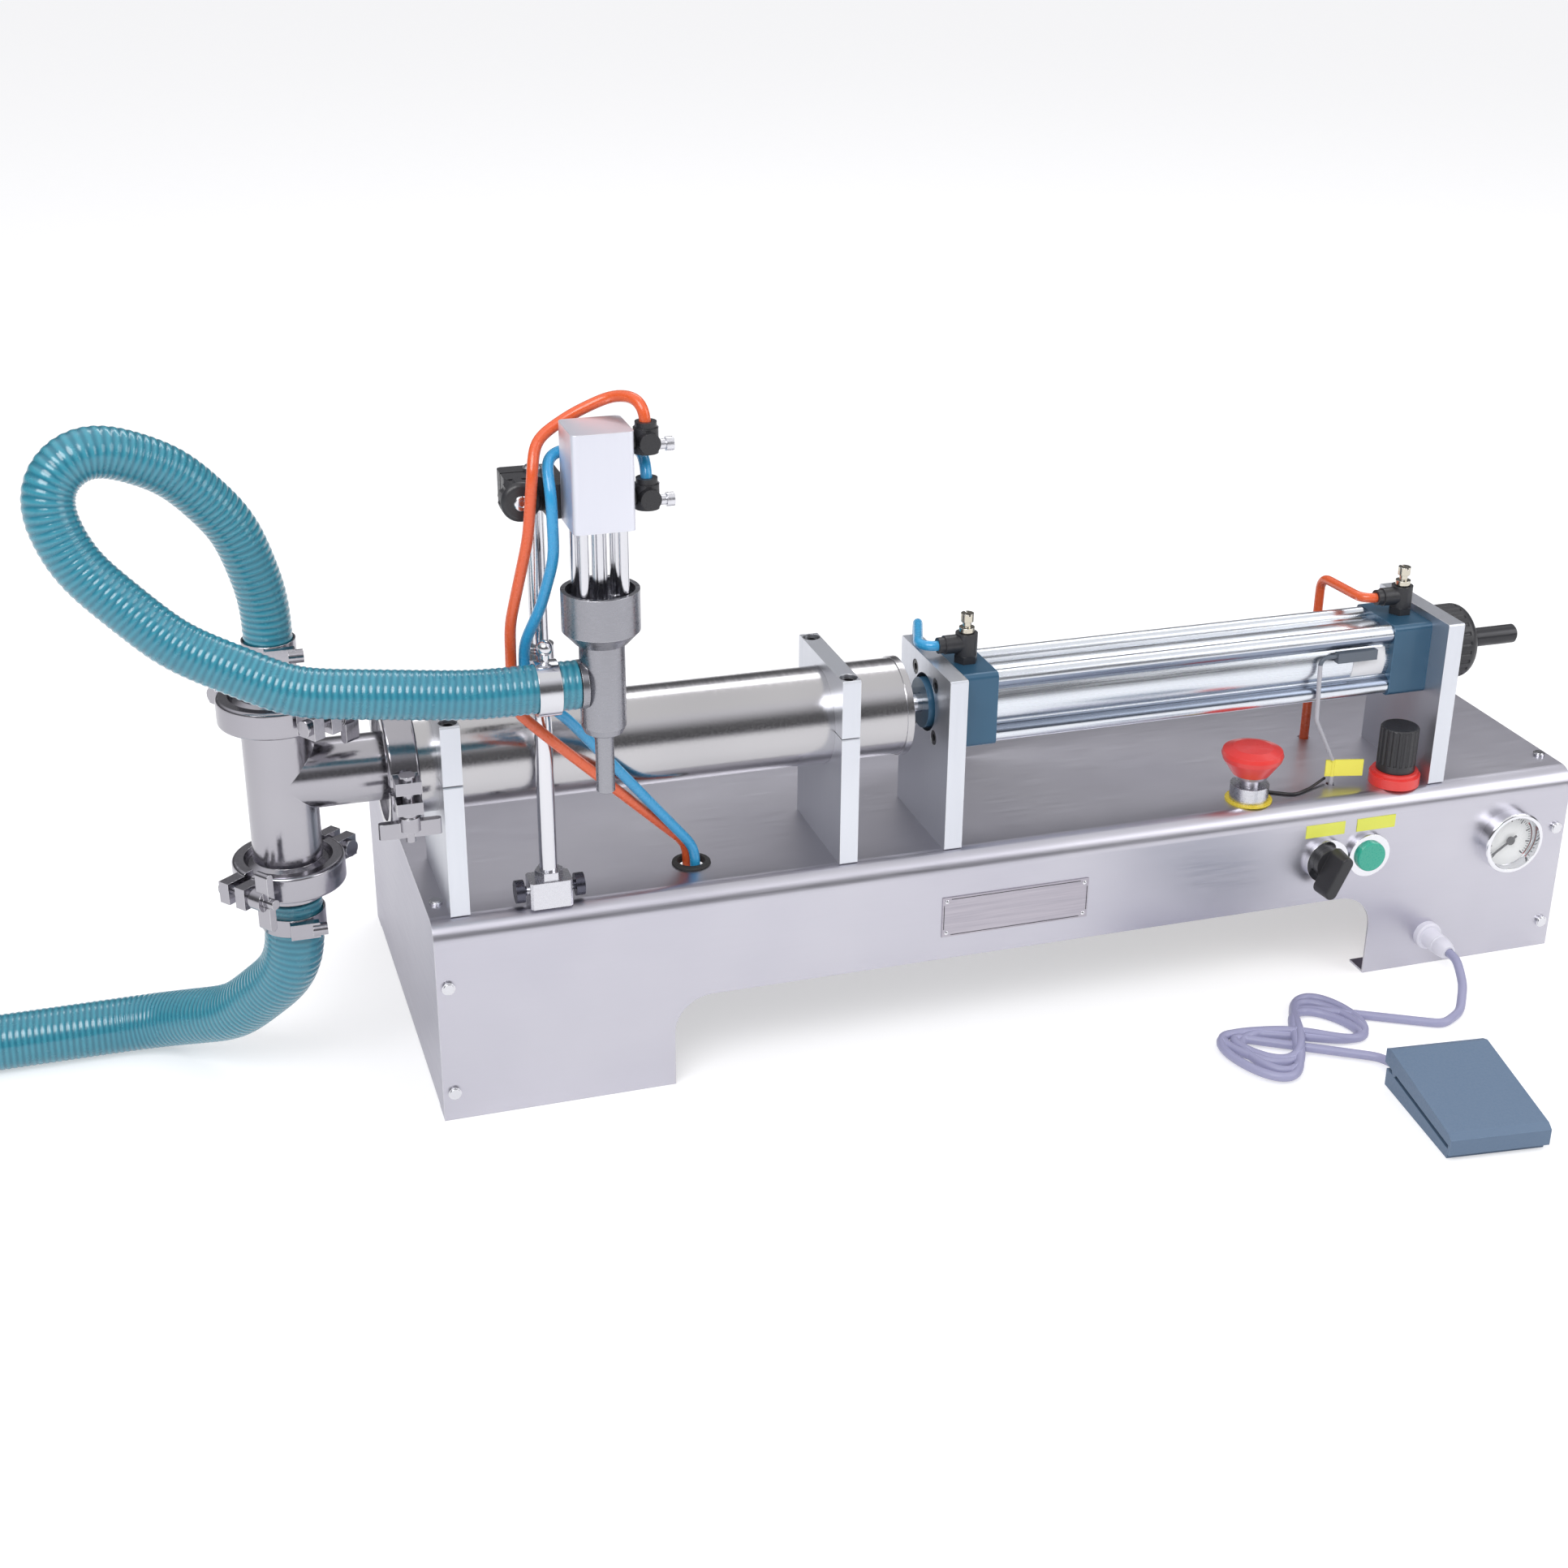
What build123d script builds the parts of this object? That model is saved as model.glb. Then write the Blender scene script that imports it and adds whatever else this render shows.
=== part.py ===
from build123d import *
import math
import os

# Piston liquid filler. Millimetres, +X along the machine towards the adjusting knob,
# +Y towards the back, +Z up. The pieces are drawn from a point on the table under the centre
# of the case, and are written with the origin under the middle of the whole machine's outline.

os.makedirs("parts", exist_ok=True)

# ---- driving dimensions -------------------------------------------------------------

CASE_L, CASE_D, CASE_H = 730.0, 262.0, 125.0
SHEET = 1.5
BEND_R = 12.0
ARCH_W, ARCH_H, ARCH_R = 457.0, 57.0, 23.0
FRONT_Y = -CASE_D / 2
OUTLINE_X, OUTLINE_Y = -128.5, -104.4    # middle of the outline, hoses and foot switch included

AXIS_Y, AXIS_Z = -83.0, 204.0            # shared axis of the metering and air cylinders
PLATE_T, PLATE_D = 11.0, 80.0
SUPPORT_TOP, PLATE_TOP = 239.0, 231.5
SUPPORT_X = (-348.0, -121.0)
FRONT_PLATE_X, REAR_PLATE_X = -56.0, 269.5

TUBE_R, TUBE_BORE_R = 28.5, 25.5
TUBE_LEFT, TUBE_RIGHT = -372.0, -78.3
ROD_R = 6.0

CAP_SIDE, CAP_L = 46.0, 26.0
BARREL_BORE_R = 16.0
FRONT_CAP_X = FRONT_PLATE_X + PLATE_T / 2
REAR_CAP_X = REAR_PLATE_X - PLATE_T / 2
CAP_TOP = AXIS_Z + CAP_SIDE / 2
SCREW_PITCH = 16.25                      # half of the square screw pitch of the cylinder caps

TEE_X = -435.0
TEE_BOTTOM, TEE_TOP = 150.0, 245.0
TEE_R, TEE_BORE_R = 19.0, 17.0
FERRULE_R = 25.25
BRANCH_FLANGE_R = 32.0
GASKET_T = 1.5

DELIVERY_R, DELIVERY_BORE_R = 13.0, 10.0
SUCTION_R, SUCTION_BORE_R = 16.5, 12.5

ROD_X, ROD_Y, STAND_R, STAND_TOP = -297.0, -119.6, 5.0, 378.0
HEAD_X, HEAD_Y = -273.0, -163.0
INLET_Z = 272.0
NOZZLE_TIP_Z, NOZZLE_R, NOZZLE_BORE_R = 209.5, 5.0, 3.0

PEDAL_X, PEDAL_Y, PEDAL_TURN = 196.0, -297.0, -6.0
PEDAL_W, PEDAL_L = 59.0, 82.0

PANEL_Z = 87.0
SELECTOR_X, START_X, GAUGE_X, SOCKET_X = 191.0, 220.5, 323.0, 272.0
GAUGE_Z, SOCKET_Z = 83.0, 22.0
ESTOP_X, ESTOP_Y = 145.0, -110.0
REGULATOR_X, REGULATOR_Y = 246.0, -112.0
GROMMET_X, GROMMET_Y = -208.0, -95.0
SENSOR_WIRE_X, SENSOR_WIRE_Y = 206.0, -104.0

FIT = 0.03                               # radial running clearance of guided shafts


def save(piece, name):
    """Label a finished piece and write it as its own STEP file."""
    placed = piece.part.moved(Location((-OUTLINE_X, -OUTLINE_Y, 0)))
    placed.label = name
    export_step(placed, f"parts/{name}.step")


def axis_x(x):
    """Plane across the cylinder axis at x, looking along +X."""
    return Plane(origin=(x, AXIS_Y, AXIS_Z), x_dir=(0, 1, 0), z_dir=(1, 0, 0))


def facing_front(x, z, y=FRONT_Y):
    """Plane on the front panel, looking out towards -Y."""
    return Plane(origin=(x, y, z), x_dir=(1, 0, 0), z_dir=(0, -1, 0))


def turned_front(x, z, y, degrees):
    """Plane on the front panel with its x direction turned by an angle."""
    a = math.radians(degrees)
    return Plane(origin=(x, y, z), x_dir=(math.cos(a), 0, math.sin(a)), z_dir=(0, -1, 0))


def upright(x, y, z):
    """Horizontal plane centred at a point, looking up."""
    return Plane(origin=(x, y, z), x_dir=(1, 0, 0), z_dir=(0, 0, 1))


def sideways(x, y, z):
    """Plane looking along +X at a point."""
    return Plane(origin=(x, y, z), x_dir=(0, 1, 0), z_dir=(1, 0, 0))


def disc(plane, radius, length, mode=Mode.ADD):
    """Round boss or round cut on a plane, inside the builder that is open."""
    with BuildSketch(plane) as profile:
        Circle(radius)
    extrude(profile.sketch, amount=length, mode=mode)


def block(plane, width, height, length, mode=Mode.ADD):
    """Rectangular boss or cut on a plane, inside the builder that is open."""
    with BuildSketch(plane) as profile:
        Rectangle(width, height)
    extrude(profile.sketch, amount=length, mode=mode)


def turned(points, centre):
    """Solid of revolution about the vertical line through centre, from (radius, z) points."""
    with BuildPart() as piece:
        with BuildSketch(Plane(origin=centre, x_dir=(1, 0, 0), z_dir=(0, -1, 0))):
            with BuildLine():
                Polyline(*points, close=True)
            make_face()
        revolve(axis=Axis(centre, (0, 0, 1)))
    return piece.part


# ---- case ---------------------------------------------------------------------------

PLATE_XS = (*SUPPORT_X, FRONT_PLATE_X, REAR_PLATE_X)
FOOT_SCREW_DY = 25.0
EDGE_SCREW_X = CASE_L / 2 - 6.5
FRONT_SCREW_ZS = (18.0, 86.0)
TOP_SCREW_Y = 103.0
CASE_SCREW_R = 2.0


def case_screw_planes():
    planes = []
    for x in (-EDGE_SCREW_X, EDGE_SCREW_X):
        for z in FRONT_SCREW_ZS:
            planes.append(facing_front(x, z))
            planes.append(Plane(origin=(x, -FRONT_Y, z), x_dir=(1, 0, 0), z_dir=(0, 1, 0)))
        for y in (-TOP_SCREW_Y, TOP_SCREW_Y):
            planes.append(upright(x, y, CASE_H))
    return planes


def make_base_cover():
    lip = 16.0
    with BuildPart() as cover:
        with BuildSketch(sideways(-CASE_L / 2, 0, CASE_H / 2)):
            outer = Rectangle(CASE_D, CASE_H)
            fillet(outer.vertices().group_by(Axis.Y)[-1], BEND_R)
        extrude(amount=CASE_L)
        with BuildSketch(sideways(-CASE_L / 2, 0, CASE_H / 2)):
            inner = Rectangle(CASE_D - 2 * SHEET, CASE_H - 2 * SHEET)
            fillet(inner.vertices().group_by(Axis.Y)[-1], BEND_R - SHEET)
        extrude(amount=CASE_L, mode=Mode.SUBTRACT)
        block(upright(0, 0, -1), CASE_L + 2, CASE_D - 2 * lip, SHEET + 1.5, Mode.SUBTRACT)
        with BuildSketch(Plane.XZ):
            with Locations((0, 0)):
                arch = Rectangle(ARCH_W, 2 * ARCH_H)
            fillet(arch.vertices().group_by(Axis.Y)[-1], ARCH_R)
        extrude(amount=CASE_D, both=True, mode=Mode.SUBTRACT)
        for plane in case_screw_planes():
            disc(plane, CASE_SCREW_R + 0.15, -2 * SHEET, Mode.SUBTRACT)
        top_holes = [
            (GROMMET_X, GROMMET_Y, 8.5),
            (ESTOP_X, ESTOP_Y, 11.15),
            (REGULATOR_X, REGULATOR_Y, 10.1),
            (SENSOR_WIRE_X, SENSOR_WIRE_Y, 3.0),
            (ROD_X, ROD_Y, 4.1),
            (AIR_DROP_FRONT[0], AIR_DROP_FRONT[1], 4.0),
            (AIR_DROP_REAR[0], AIR_DROP_REAR[1], 4.0),
        ]
        for x, y, radius in top_holes:
            disc(upright(x, y, CASE_H + 1), radius, -4, Mode.SUBTRACT)
        for x in PLATE_XS:
            for side in (-1, 1):
                y = AXIS_Y + side * FOOT_SCREW_DY
                disc(upright(x, y, CASE_H + 1), 3.2, -4, Mode.SUBTRACT)
        front_holes = [
            (SELECTOR_X, PANEL_Z, 11.15),
            (START_X, PANEL_Z, 11.15),
            (GAUGE_X, GAUGE_Z, 18.7),
            (SOCKET_X, SOCKET_Z, 6.1),
        ]
        for x, z, radius in front_holes:
            disc(facing_front(x, z, FRONT_Y - 1), radius, -4, Mode.SUBTRACT)
    save(cover, "base_cover")


def make_end_plates():
    gap, flange = 0.1, 10.0
    width = CASE_D - 2 * SHEET - 2 * gap
    height = CASE_H - 2 * SHEET - 2 * gap
    inner_r = BEND_R - SHEET
    mid_z = SHEET + gap + height / 2
    with BuildPart() as plates:
        with BuildSketch(sideways(-CASE_L / 2, 0, mid_z)):
            outline = Rectangle(width, height)
            fillet(outline.vertices().group_by(Axis.Y)[-1], inner_r)
        extrude(amount=flange + SHEET)
        with BuildSketch(sideways(-CASE_L / 2 + SHEET, 0, mid_z - SHEET)):
            hollow = Rectangle(width - 2 * SHEET, height)
            fillet(hollow.vertices().group_by(Axis.Y)[-1], inner_r - SHEET)
        extrude(amount=flange + SHEET, mode=Mode.SUBTRACT)
        mirror(about=Plane.YZ)
        for plane in case_screw_planes():
            disc(plane, CASE_SCREW_R + 0.02, -4 * SHEET, Mode.SUBTRACT)
    save(plates, "end_plates")


def make_case_screws():
    with BuildPart() as screws:
        for plane in case_screw_planes():
            disc(plane, 3.8, 1.6)
            disc(plane.offset(1.6), 3.0, 0.6)
            disc(plane, CASE_SCREW_R, -7.0)
    save(screws, "case_screws")


def make_panel_labels():
    with BuildPart() as labels:
        block(facing_front(-17.5, 85.0), 94.0, 26.0, 0.8)
        for x in (SELECTOR_X - 2, START_X + 4):
            block(facing_front(x, PANEL_Z + 20.5), 27.0, 8.5, 0.4)
    save(labels, "panel_labels")


# ---- cylinder supports and plates ---------------------------------------------------

SPLIT_GAP = 0.8
SUPPORT_SCREW_DY = 33.5
BASE_SCREW_BORE = 3.02


def support_half(x, low, high):
    """One half of a split support: a plate with half of the tube bore."""
    with BuildSketch(sideways(x, AXIS_Y, (low + high) / 2)) as profile:
        Rectangle(PLATE_D, high - low)
        with Locations((0, AXIS_Z - (low + high) / 2)):
            Circle(TUBE_R + FIT, mode=Mode.SUBTRACT)
    extrude(profile.sketch, amount=PLATE_T / 2, both=True)


def tap_from_below(x):
    for side in (-1, 1):
        disc(upright(x, AXIS_Y + side * FOOT_SCREW_DY, CASE_H), BASE_SCREW_BORE, 14, Mode.SUBTRACT)


def make_tube_supports():
    with BuildPart() as lower:
        for x in SUPPORT_X:
            support_half(x, CASE_H, AXIS_Z - SPLIT_GAP / 2)
            tap_from_below(x)
            for side in (-1, 1):
                y = AXIS_Y + side * SUPPORT_SCREW_DY
                disc(upright(x, y, AXIS_Z), BASE_SCREW_BORE, -22, Mode.SUBTRACT)
        chamfer(lower.edges().filter_by(Axis.X).group_by(Axis.Y)[0], 0.6)
    save(lower, "tube_supports_lower")
    with BuildPart() as upper:
        for x in SUPPORT_X:
            support_half(x, AXIS_Z + SPLIT_GAP / 2, SUPPORT_TOP)
            for side in (-1, 1):
                y = AXIS_Y + side * SUPPORT_SCREW_DY
                with Locations((x, y, SUPPORT_TOP)):
                    CounterBoreHole(radius=3.2, counter_bore_radius=5.1, counter_bore_depth=7.5, depth=36)
        chamfer(upper.edges().filter_by(Axis.X).group_by(Axis.Z)[-1], 0.8)
    save(upper, "tube_supports_upper")


def make_cylinder_plate(x, bore, name, outer_side):
    """End plate that carries the air cylinder, screwed to the cap's face."""
    height = PLATE_TOP - CASE_H
    with BuildPart() as plate:
        block(sideways(x - PLATE_T / 2, AXIS_Y, CASE_H + height / 2), PLATE_D, height, PLATE_T)
        chamfer(plate.edges().filter_by(Axis.X), 0.8)
        disc(axis_x(x - PLATE_T / 2 - 1), bore, PLATE_T + 2, Mode.SUBTRACT)
        for y, z in cap_screw_spots():
            spot = sideways(x, y, z)
            disc(spot.offset(-PLATE_T), 2.6, 2 * PLATE_T, Mode.SUBTRACT)
            disc(spot.offset(outer_side * (PLATE_T / 2 - 5.2)), 4.6, outer_side * 8, Mode.SUBTRACT)
        tap_from_below(x)
    save(plate, name)


def cap_screw_spots():
    return [(AXIS_Y + i * SCREW_PITCH, AXIS_Z + j * SCREW_PITCH) for i in (-1, 1) for j in (-1, 1)]


def socket_screw(plane, radius, head_r, head_l, shank):
    """Socket cap screw: head outwards from the plane, shank inwards, hexagon recess."""
    disc(plane, head_r, head_l)
    disc(plane, radius, -shank)
    with BuildSketch(plane.offset(head_l)) as recess:
        RegularPolygon(radius * 0.95, 6)
    extrude(recess.sketch, amount=-head_l * 0.6, mode=Mode.SUBTRACT)


def make_socket_screws():
    with BuildPart() as screws:
        for x in SUPPORT_X:
            for side in (-1, 1):
                y = AXIS_Y + side * SUPPORT_SCREW_DY
                socket_screw(upright(x, y, SUPPORT_TOP - 7.5), 3.0, 5.0, 6.0, 44.0)
        for y, z in cap_screw_spots():
            front = sideways(FRONT_PLATE_X - PLATE_T / 2 + 5.2, y, z)
            rear = sideways(REAR_PLATE_X + PLATE_T / 2 - 5.2, y, z)
            flipped = Plane(origin=front.origin, x_dir=(0, 1, 0), z_dir=(-1, 0, 0))
            socket_screw(flipped, 2.5, 4.4, 5.0, 14.0)
            socket_screw(rear, 2.5, 4.4, 5.0, 14.0)
        for x in PLATE_XS:
            for side in (-1, 1):
                y = AXIS_Y + side * FOOT_SCREW_DY
                under = Plane(origin=(x, y, CASE_H - SHEET), x_dir=(1, 0, 0), z_dir=(0, 0, -1))
                socket_screw(under, 3.0, 5.0, 6.0, SHEET + 12.0)
    save(screws, "socket_screws")


# ---- metering cylinder --------------------------------------------------------------

PISTON_X, PISTON_L = -345.0, 24.0
AIR_PISTON_X, AIR_PISTON_L = -20.0, 22.0


def make_metering_tube():
    with BuildPart() as tube:
        disc(axis_x(TUBE_LEFT), TUBE_R, TUBE_RIGHT - TUBE_LEFT)
        disc(axis_x(TUBE_LEFT), BRANCH_FLANGE_R, 4.5)
        disc(axis_x(TUBE_RIGHT - 4), TUBE_R + 0.8, 4)
        disc(axis_x(TUBE_LEFT + 6), TUBE_BORE_R, TUBE_RIGHT - TUBE_LEFT, Mode.SUBTRACT)
        disc(axis_x(TUBE_LEFT - 1), TEE_BORE_R, 12, Mode.SUBTRACT)
    save(tube, "metering_tube")


def make_piston_group():
    groove_r = TUBE_BORE_R - 3.5
    groove_xs = (PISTON_X + 4, PISTON_X + PISTON_L - 9)
    with BuildPart() as piston:
        disc(axis_x(PISTON_X), TUBE_BORE_R - 0.3, PISTON_L)
        for x in groove_xs:
            disc(axis_x(x), TUBE_BORE_R + 1, 5, Mode.SUBTRACT)
            disc(axis_x(x), groove_r, 5)
        disc(axis_x(PISTON_X + PISTON_L), ROD_R + FIT, -15, Mode.SUBTRACT)
        chamfer(piston.edges().filter_by(GeomType.CIRCLE).group_by(Axis.X)[0], 2.0)
    save(piston, "metering_piston")
    with BuildPart() as seals:
        for x in groove_xs:
            disc(axis_x(x + 0.2), TUBE_BORE_R - FIT, 4.6)
            disc(axis_x(x), groove_r + FIT, 5, Mode.SUBTRACT)
    save(seals, "piston_seals")
    rod_left = PISTON_X + PISTON_L - 15
    with BuildPart() as rod:
        disc(axis_x(rod_left), ROD_R, AIR_PISTON_X + 12 - rod_left)
        with BuildSketch(axis_x(PISTON_X + PISTON_L)):
            RegularPolygon(11.0, 6)
        extrude(amount=8)
    save(rod, "piston_rod")
    with BuildPart() as air_piston:
        disc(axis_x(AIR_PISTON_X), BARREL_BORE_R - FIT, AIR_PISTON_L)
        disc(axis_x(AIR_PISTON_X), ROD_R + FIT, 12, Mode.SUBTRACT)
    save(air_piston, "air_piston")


# ---- air cylinder -------------------------------------------------------------------

PORT_R = 4.8
FRONT_PORT_X = FRONT_CAP_X + 14.0
REAR_PORT_X = REAR_CAP_X - 10.0
ADJUSTER_R = 6.0
KNOB_X, KNOB_L, KNOB_R = 280.5, 21.0, 23.5


def make_cylinder_caps():
    with BuildPart() as caps:
        for x, port_x in ((FRONT_CAP_X, FRONT_PORT_X), (REAR_CAP_X - CAP_L, REAR_PORT_X)):
            with BuildSketch(axis_x(x)):
                RectangleRounded(CAP_SIDE, CAP_SIDE, 3.5)
            extrude(amount=CAP_L)
            disc(upright(port_x, AXIS_Y, CAP_TOP), PORT_R + FIT, -8, Mode.SUBTRACT)
        disc(axis_x(FRONT_CAP_X), 15.0, -(PLATE_T + 3.0))
        disc(axis_x(FRONT_CAP_X - 30), ROD_R + FIT, 60, Mode.SUBTRACT)
        disc(axis_x(REAR_CAP_X), 11.0, PLATE_T)
        disc(axis_x(REAR_CAP_X - 40), ADJUSTER_R + FIT, 60, Mode.SUBTRACT)
        for y, z in cap_screw_spots():
            disc(sideways(FRONT_CAP_X, y, z), 2.52, 12, Mode.SUBTRACT)
            disc(sideways(REAR_CAP_X, y, z), 2.52, -12, Mode.SUBTRACT)
    save(caps, "cylinder_caps")


def make_air_barrel():
    ear_r, ear_off = 5.6, 16.8
    left, right = FRONT_CAP_X + CAP_L, REAR_CAP_X - CAP_L
    with BuildPart() as barrel:
        with BuildSketch(axis_x(left)):
            Circle(19.6)
            with GridLocations(2 * ear_off, 2 * ear_off, 2, 2):
                Circle(ear_r)
            with PolarLocations(ear_off * math.sqrt(2) - 4.5, 4, start_angle=45):
                Rectangle(9, 9.6)
            Circle(BARREL_BORE_R, mode=Mode.SUBTRACT)
            with GridLocations(2 * ear_off, 2 * ear_off, 2, 2):
                Circle(2.3, mode=Mode.SUBTRACT)
        extrude(amount=right - left)
    save(barrel, "air_barrel")


def make_adjuster():
    pad_x = REAR_CAP_X - CAP_L
    tail_x = 340.0
    with BuildPart() as screw:
        disc(axis_x(pad_x - 6), ADJUSTER_R, tail_x - pad_x + 6)
        disc(axis_x(pad_x - 12), 11.0, 6.0)
        chamfer(screw.faces().sort_by(Axis.X)[-1].edges(), 1.2)
    save(screw, "adjuster_screw")
    with BuildPart() as knob:
        disc(axis_x(KNOB_X), KNOB_R, KNOB_L)
        fillet(knob.faces().sort_by(Axis.X)[-1].edges(), 7.0)
        fillet(knob.faces().sort_by(Axis.X)[0].edges(), 2.0)
        disc(axis_x(REAR_PLATE_X + PLATE_T / 2), 11.0, KNOB_X - REAR_PLATE_X - PLATE_T / 2)
        disc(axis_x(260), ADJUSTER_R + FIT, 60, Mode.SUBTRACT)
        with BuildSketch(axis_x(KNOB_X)):
            with PolarLocations(KNOB_R + 1.6, 24):
                Circle(2.2)
        extrude(amount=KNOB_L - 7.0, mode=Mode.SUBTRACT)
    save(knob, "adjuster_knob")


def make_reed_switch():
    switch_y = AXIS_Y - 22.4
    wire_points = [
        (199, switch_y, 212),
        (188, switch_y, 212),
        (188, switch_y - 3, 172),
        (SENSOR_WIRE_X, SENSOR_WIRE_Y, 140),
        (SENSOR_WIRE_X, SENSOR_WIRE_Y, 116),
    ]
    with BuildPart() as switch:
        block(sideways(199, switch_y, 211), 4.6, 6.4, 27)
        tube_along(wire_points, 1.4, 5.0)
        tag_at = (SENSOR_WIRE_X + 7, SENSOR_WIRE_Y - 2, 136)
        tag = Plane(origin=tag_at, x_dir=(1, -0.25, 0), z_dir=(-0.25, -1, 0))
        block(tag.offset(-0.6), 24, 11, 1.2)
    save(switch, "reed_switch")


def flow_control(x):
    """Banjo flow control on a cap: stem, hexagon, round body and a push-in arm to the left."""
    disc(upright(x, AXIS_Y, CAP_TOP), PORT_R, -7.5)
    with BuildSketch(upright(x, AXIS_Y, CAP_TOP)) as hexagon:
        RegularPolygon(7.2, 6)
    extrude(hexagon.sketch, amount=4.5)
    disc(upright(x, AXIS_Y, CAP_TOP + 4.5), 6.6, 13.5)
    disc(sideways(x, AXIS_Y, CAP_TOP + 11.5), 5.6, -14.0)
    disc(sideways(x - 14, AXIS_Y, CAP_TOP + 11.5), 4.8, -4.0)
    disc(sideways(x - 8, AXIS_Y, CAP_TOP + 11.5), 3.0, -20.0, Mode.SUBTRACT)
    disc(upright(x, AXIS_Y, CAP_TOP + 30), 2.0 + FIT, -22, Mode.SUBTRACT)


def make_flow_controls():
    with BuildPart() as bodies:
        flow_control(FRONT_PORT_X)
        flow_control(REAR_PORT_X)
    save(bodies, "flow_controls")
    for x, name in ((FRONT_PORT_X, "front_needle"), (REAR_PORT_X, "rear_needle")):
        with BuildPart() as needle:
            disc(upright(x, AXIS_Y, CAP_TOP + 9.0), 2.0, 10.0)
            disc(upright(x, AXIS_Y, CAP_TOP + 18.5), 4.6, 3.0)
            disc(upright(x, AXIS_Y, CAP_TOP + 21.5), 2.6, 3.5)
            disc(upright(x, AXIS_Y, CAP_TOP + 25.0), 3.8, 5.0)
            block(upright(x, AXIS_Y, CAP_TOP + 30.0), 1.0, 9.0, -1.2, Mode.SUBTRACT)
        save(needle, name)


AIR_DROP_FRONT = (-48.0, -33.0)
AIR_DROP_REAR = (227.0, -33.0)
AIR_TUBE_R = 2.9


def tube_along(points, radius, bend, bore=0.0):
    """Flexible tube along straight runs joined by arcs, inside the builder that is open."""
    with BuildLine() as path:
        FilletPolyline(*points, radius=bend)
    with BuildSketch(Plane(origin=points[0], z_dir=Vector(*points[1]) - Vector(*points[0]))) as profile:
        Circle(radius)
        if bore:
            Circle(bore, mode=Mode.SUBTRACT)
    sweep(profile.sketch, path=path.wire())


def make_cylinder_tubes():
    z = CAP_TOP + 11.5
    front_x, rear_x = FRONT_PORT_X - 10, REAR_PORT_X - 10
    front = [
        (front_x, AXIS_Y, z),
        (-66.5, AXIS_Y, z),
        (AIR_DROP_FRONT[0], AIR_DROP_FRONT[1], z - 2),
        (AIR_DROP_FRONT[0], AIR_DROP_FRONT[1], 112),
    ]
    rear = [
        (rear_x, AXIS_Y, z),
        (227.5, AXIS_Y, z),
        (AIR_DROP_REAR[0], AIR_DROP_REAR[1], z - 2),
        (AIR_DROP_REAR[0], AIR_DROP_REAR[1], 112),
    ]
    with BuildPart() as tubes:
        tube_along(front, AIR_TUBE_R, 8.0)
        tube_along(rear, AIR_TUBE_R, 8.0)
    save(tubes, "cylinder_tubes")


# ---- tee, check valves and clamps ---------------------------------------------------

SEAT_R = 9.5
POPPET_R, POPPET_T = 13.0, 3.0
FLANGE_T, CONE_L = 3.0, 4.0
BRANCH_FACE_X = TUBE_LEFT - GASKET_T
CENTRE = (TEE_X, AXIS_Y, 0)


def make_tee_body():
    shell = [
        (0, TEE_BOTTOM), (FERRULE_R, TEE_BOTTOM), (FERRULE_R, TEE_BOTTOM + FLANGE_T),
        (TEE_R, TEE_BOTTOM + FLANGE_T + CONE_L), (TEE_R, TEE_TOP - FLANGE_T - CONE_L),
        (FERRULE_R, TEE_TOP - FLANGE_T), (FERRULE_R, TEE_TOP), (0, TEE_TOP),
    ]
    bore = [
        (0, TEE_BOTTOM - 1), (TEE_BORE_R, TEE_BOTTOM - 1), (TEE_BORE_R, TEE_TOP - 6),
        (SEAT_R, TEE_TOP - 6), (SEAT_R, TEE_TOP + 1), (0, TEE_TOP + 1),
    ]
    outside, inside = turned(shell, CENTRE), turned(bore, CENTRE)
    with BuildPart() as tee:
        add(outside)
        disc(axis_x(TEE_X), TEE_R, BRANCH_FACE_X - TEE_X)
        disc(axis_x(BRANCH_FACE_X), BRANCH_FLANGE_R, -4.5)
        add(inside, mode=Mode.SUBTRACT)
        disc(axis_x(TEE_X), TEE_BORE_R, 80, Mode.SUBTRACT)
    save(tee, "tee_body")


def make_gaskets():
    with BuildPart() as gaskets:
        for z in (TEE_BOTTOM - GASKET_T, TEE_TOP):
            disc(upright(TEE_X, AXIS_Y, z), FERRULE_R, GASKET_T)
        disc(axis_x(BRANCH_FACE_X), BRANCH_FLANGE_R, GASKET_T)
        disc(upright(TEE_X, AXIS_Y, TEE_BOTTOM - 5), TEE_BORE_R, TEE_TOP - TEE_BOTTOM + 10, Mode.SUBTRACT)
        disc(axis_x(BRANCH_FACE_X - 1), TEE_BORE_R, 5, Mode.SUBTRACT)
    save(gaskets, "clamp_gaskets")


def clamp_frames():
    """Centre plane, flange radius, flange half depth and tube radius of each clamp."""
    bottom = upright(TEE_X, AXIS_Y, TEE_BOTTOM - GASKET_T / 2)
    top = upright(TEE_X, AXIS_Y, TEE_TOP + GASKET_T / 2)
    branch = Plane(origin=(BRANCH_FACE_X + GASKET_T / 2, AXIS_Y, AXIS_Z), x_dir=(0, 0, -1), z_dir=(1, 0, 0))
    bottom = Plane(origin=bottom.origin, x_dir=(math.cos(0.9), -math.sin(0.9), 0), z_dir=(0, 0, 1))
    top = Plane(origin=top.origin, x_dir=(math.cos(0.6), math.sin(0.6), 0), z_dir=(0, 0, 1))
    return [(bottom, FERRULE_R, 4.5), (top, FERRULE_R, 4.5), (branch, BRANCH_FLANGE_R, 5.3)]


CLAMP_GAP = 5.0
LUG_T = 7.0


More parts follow.
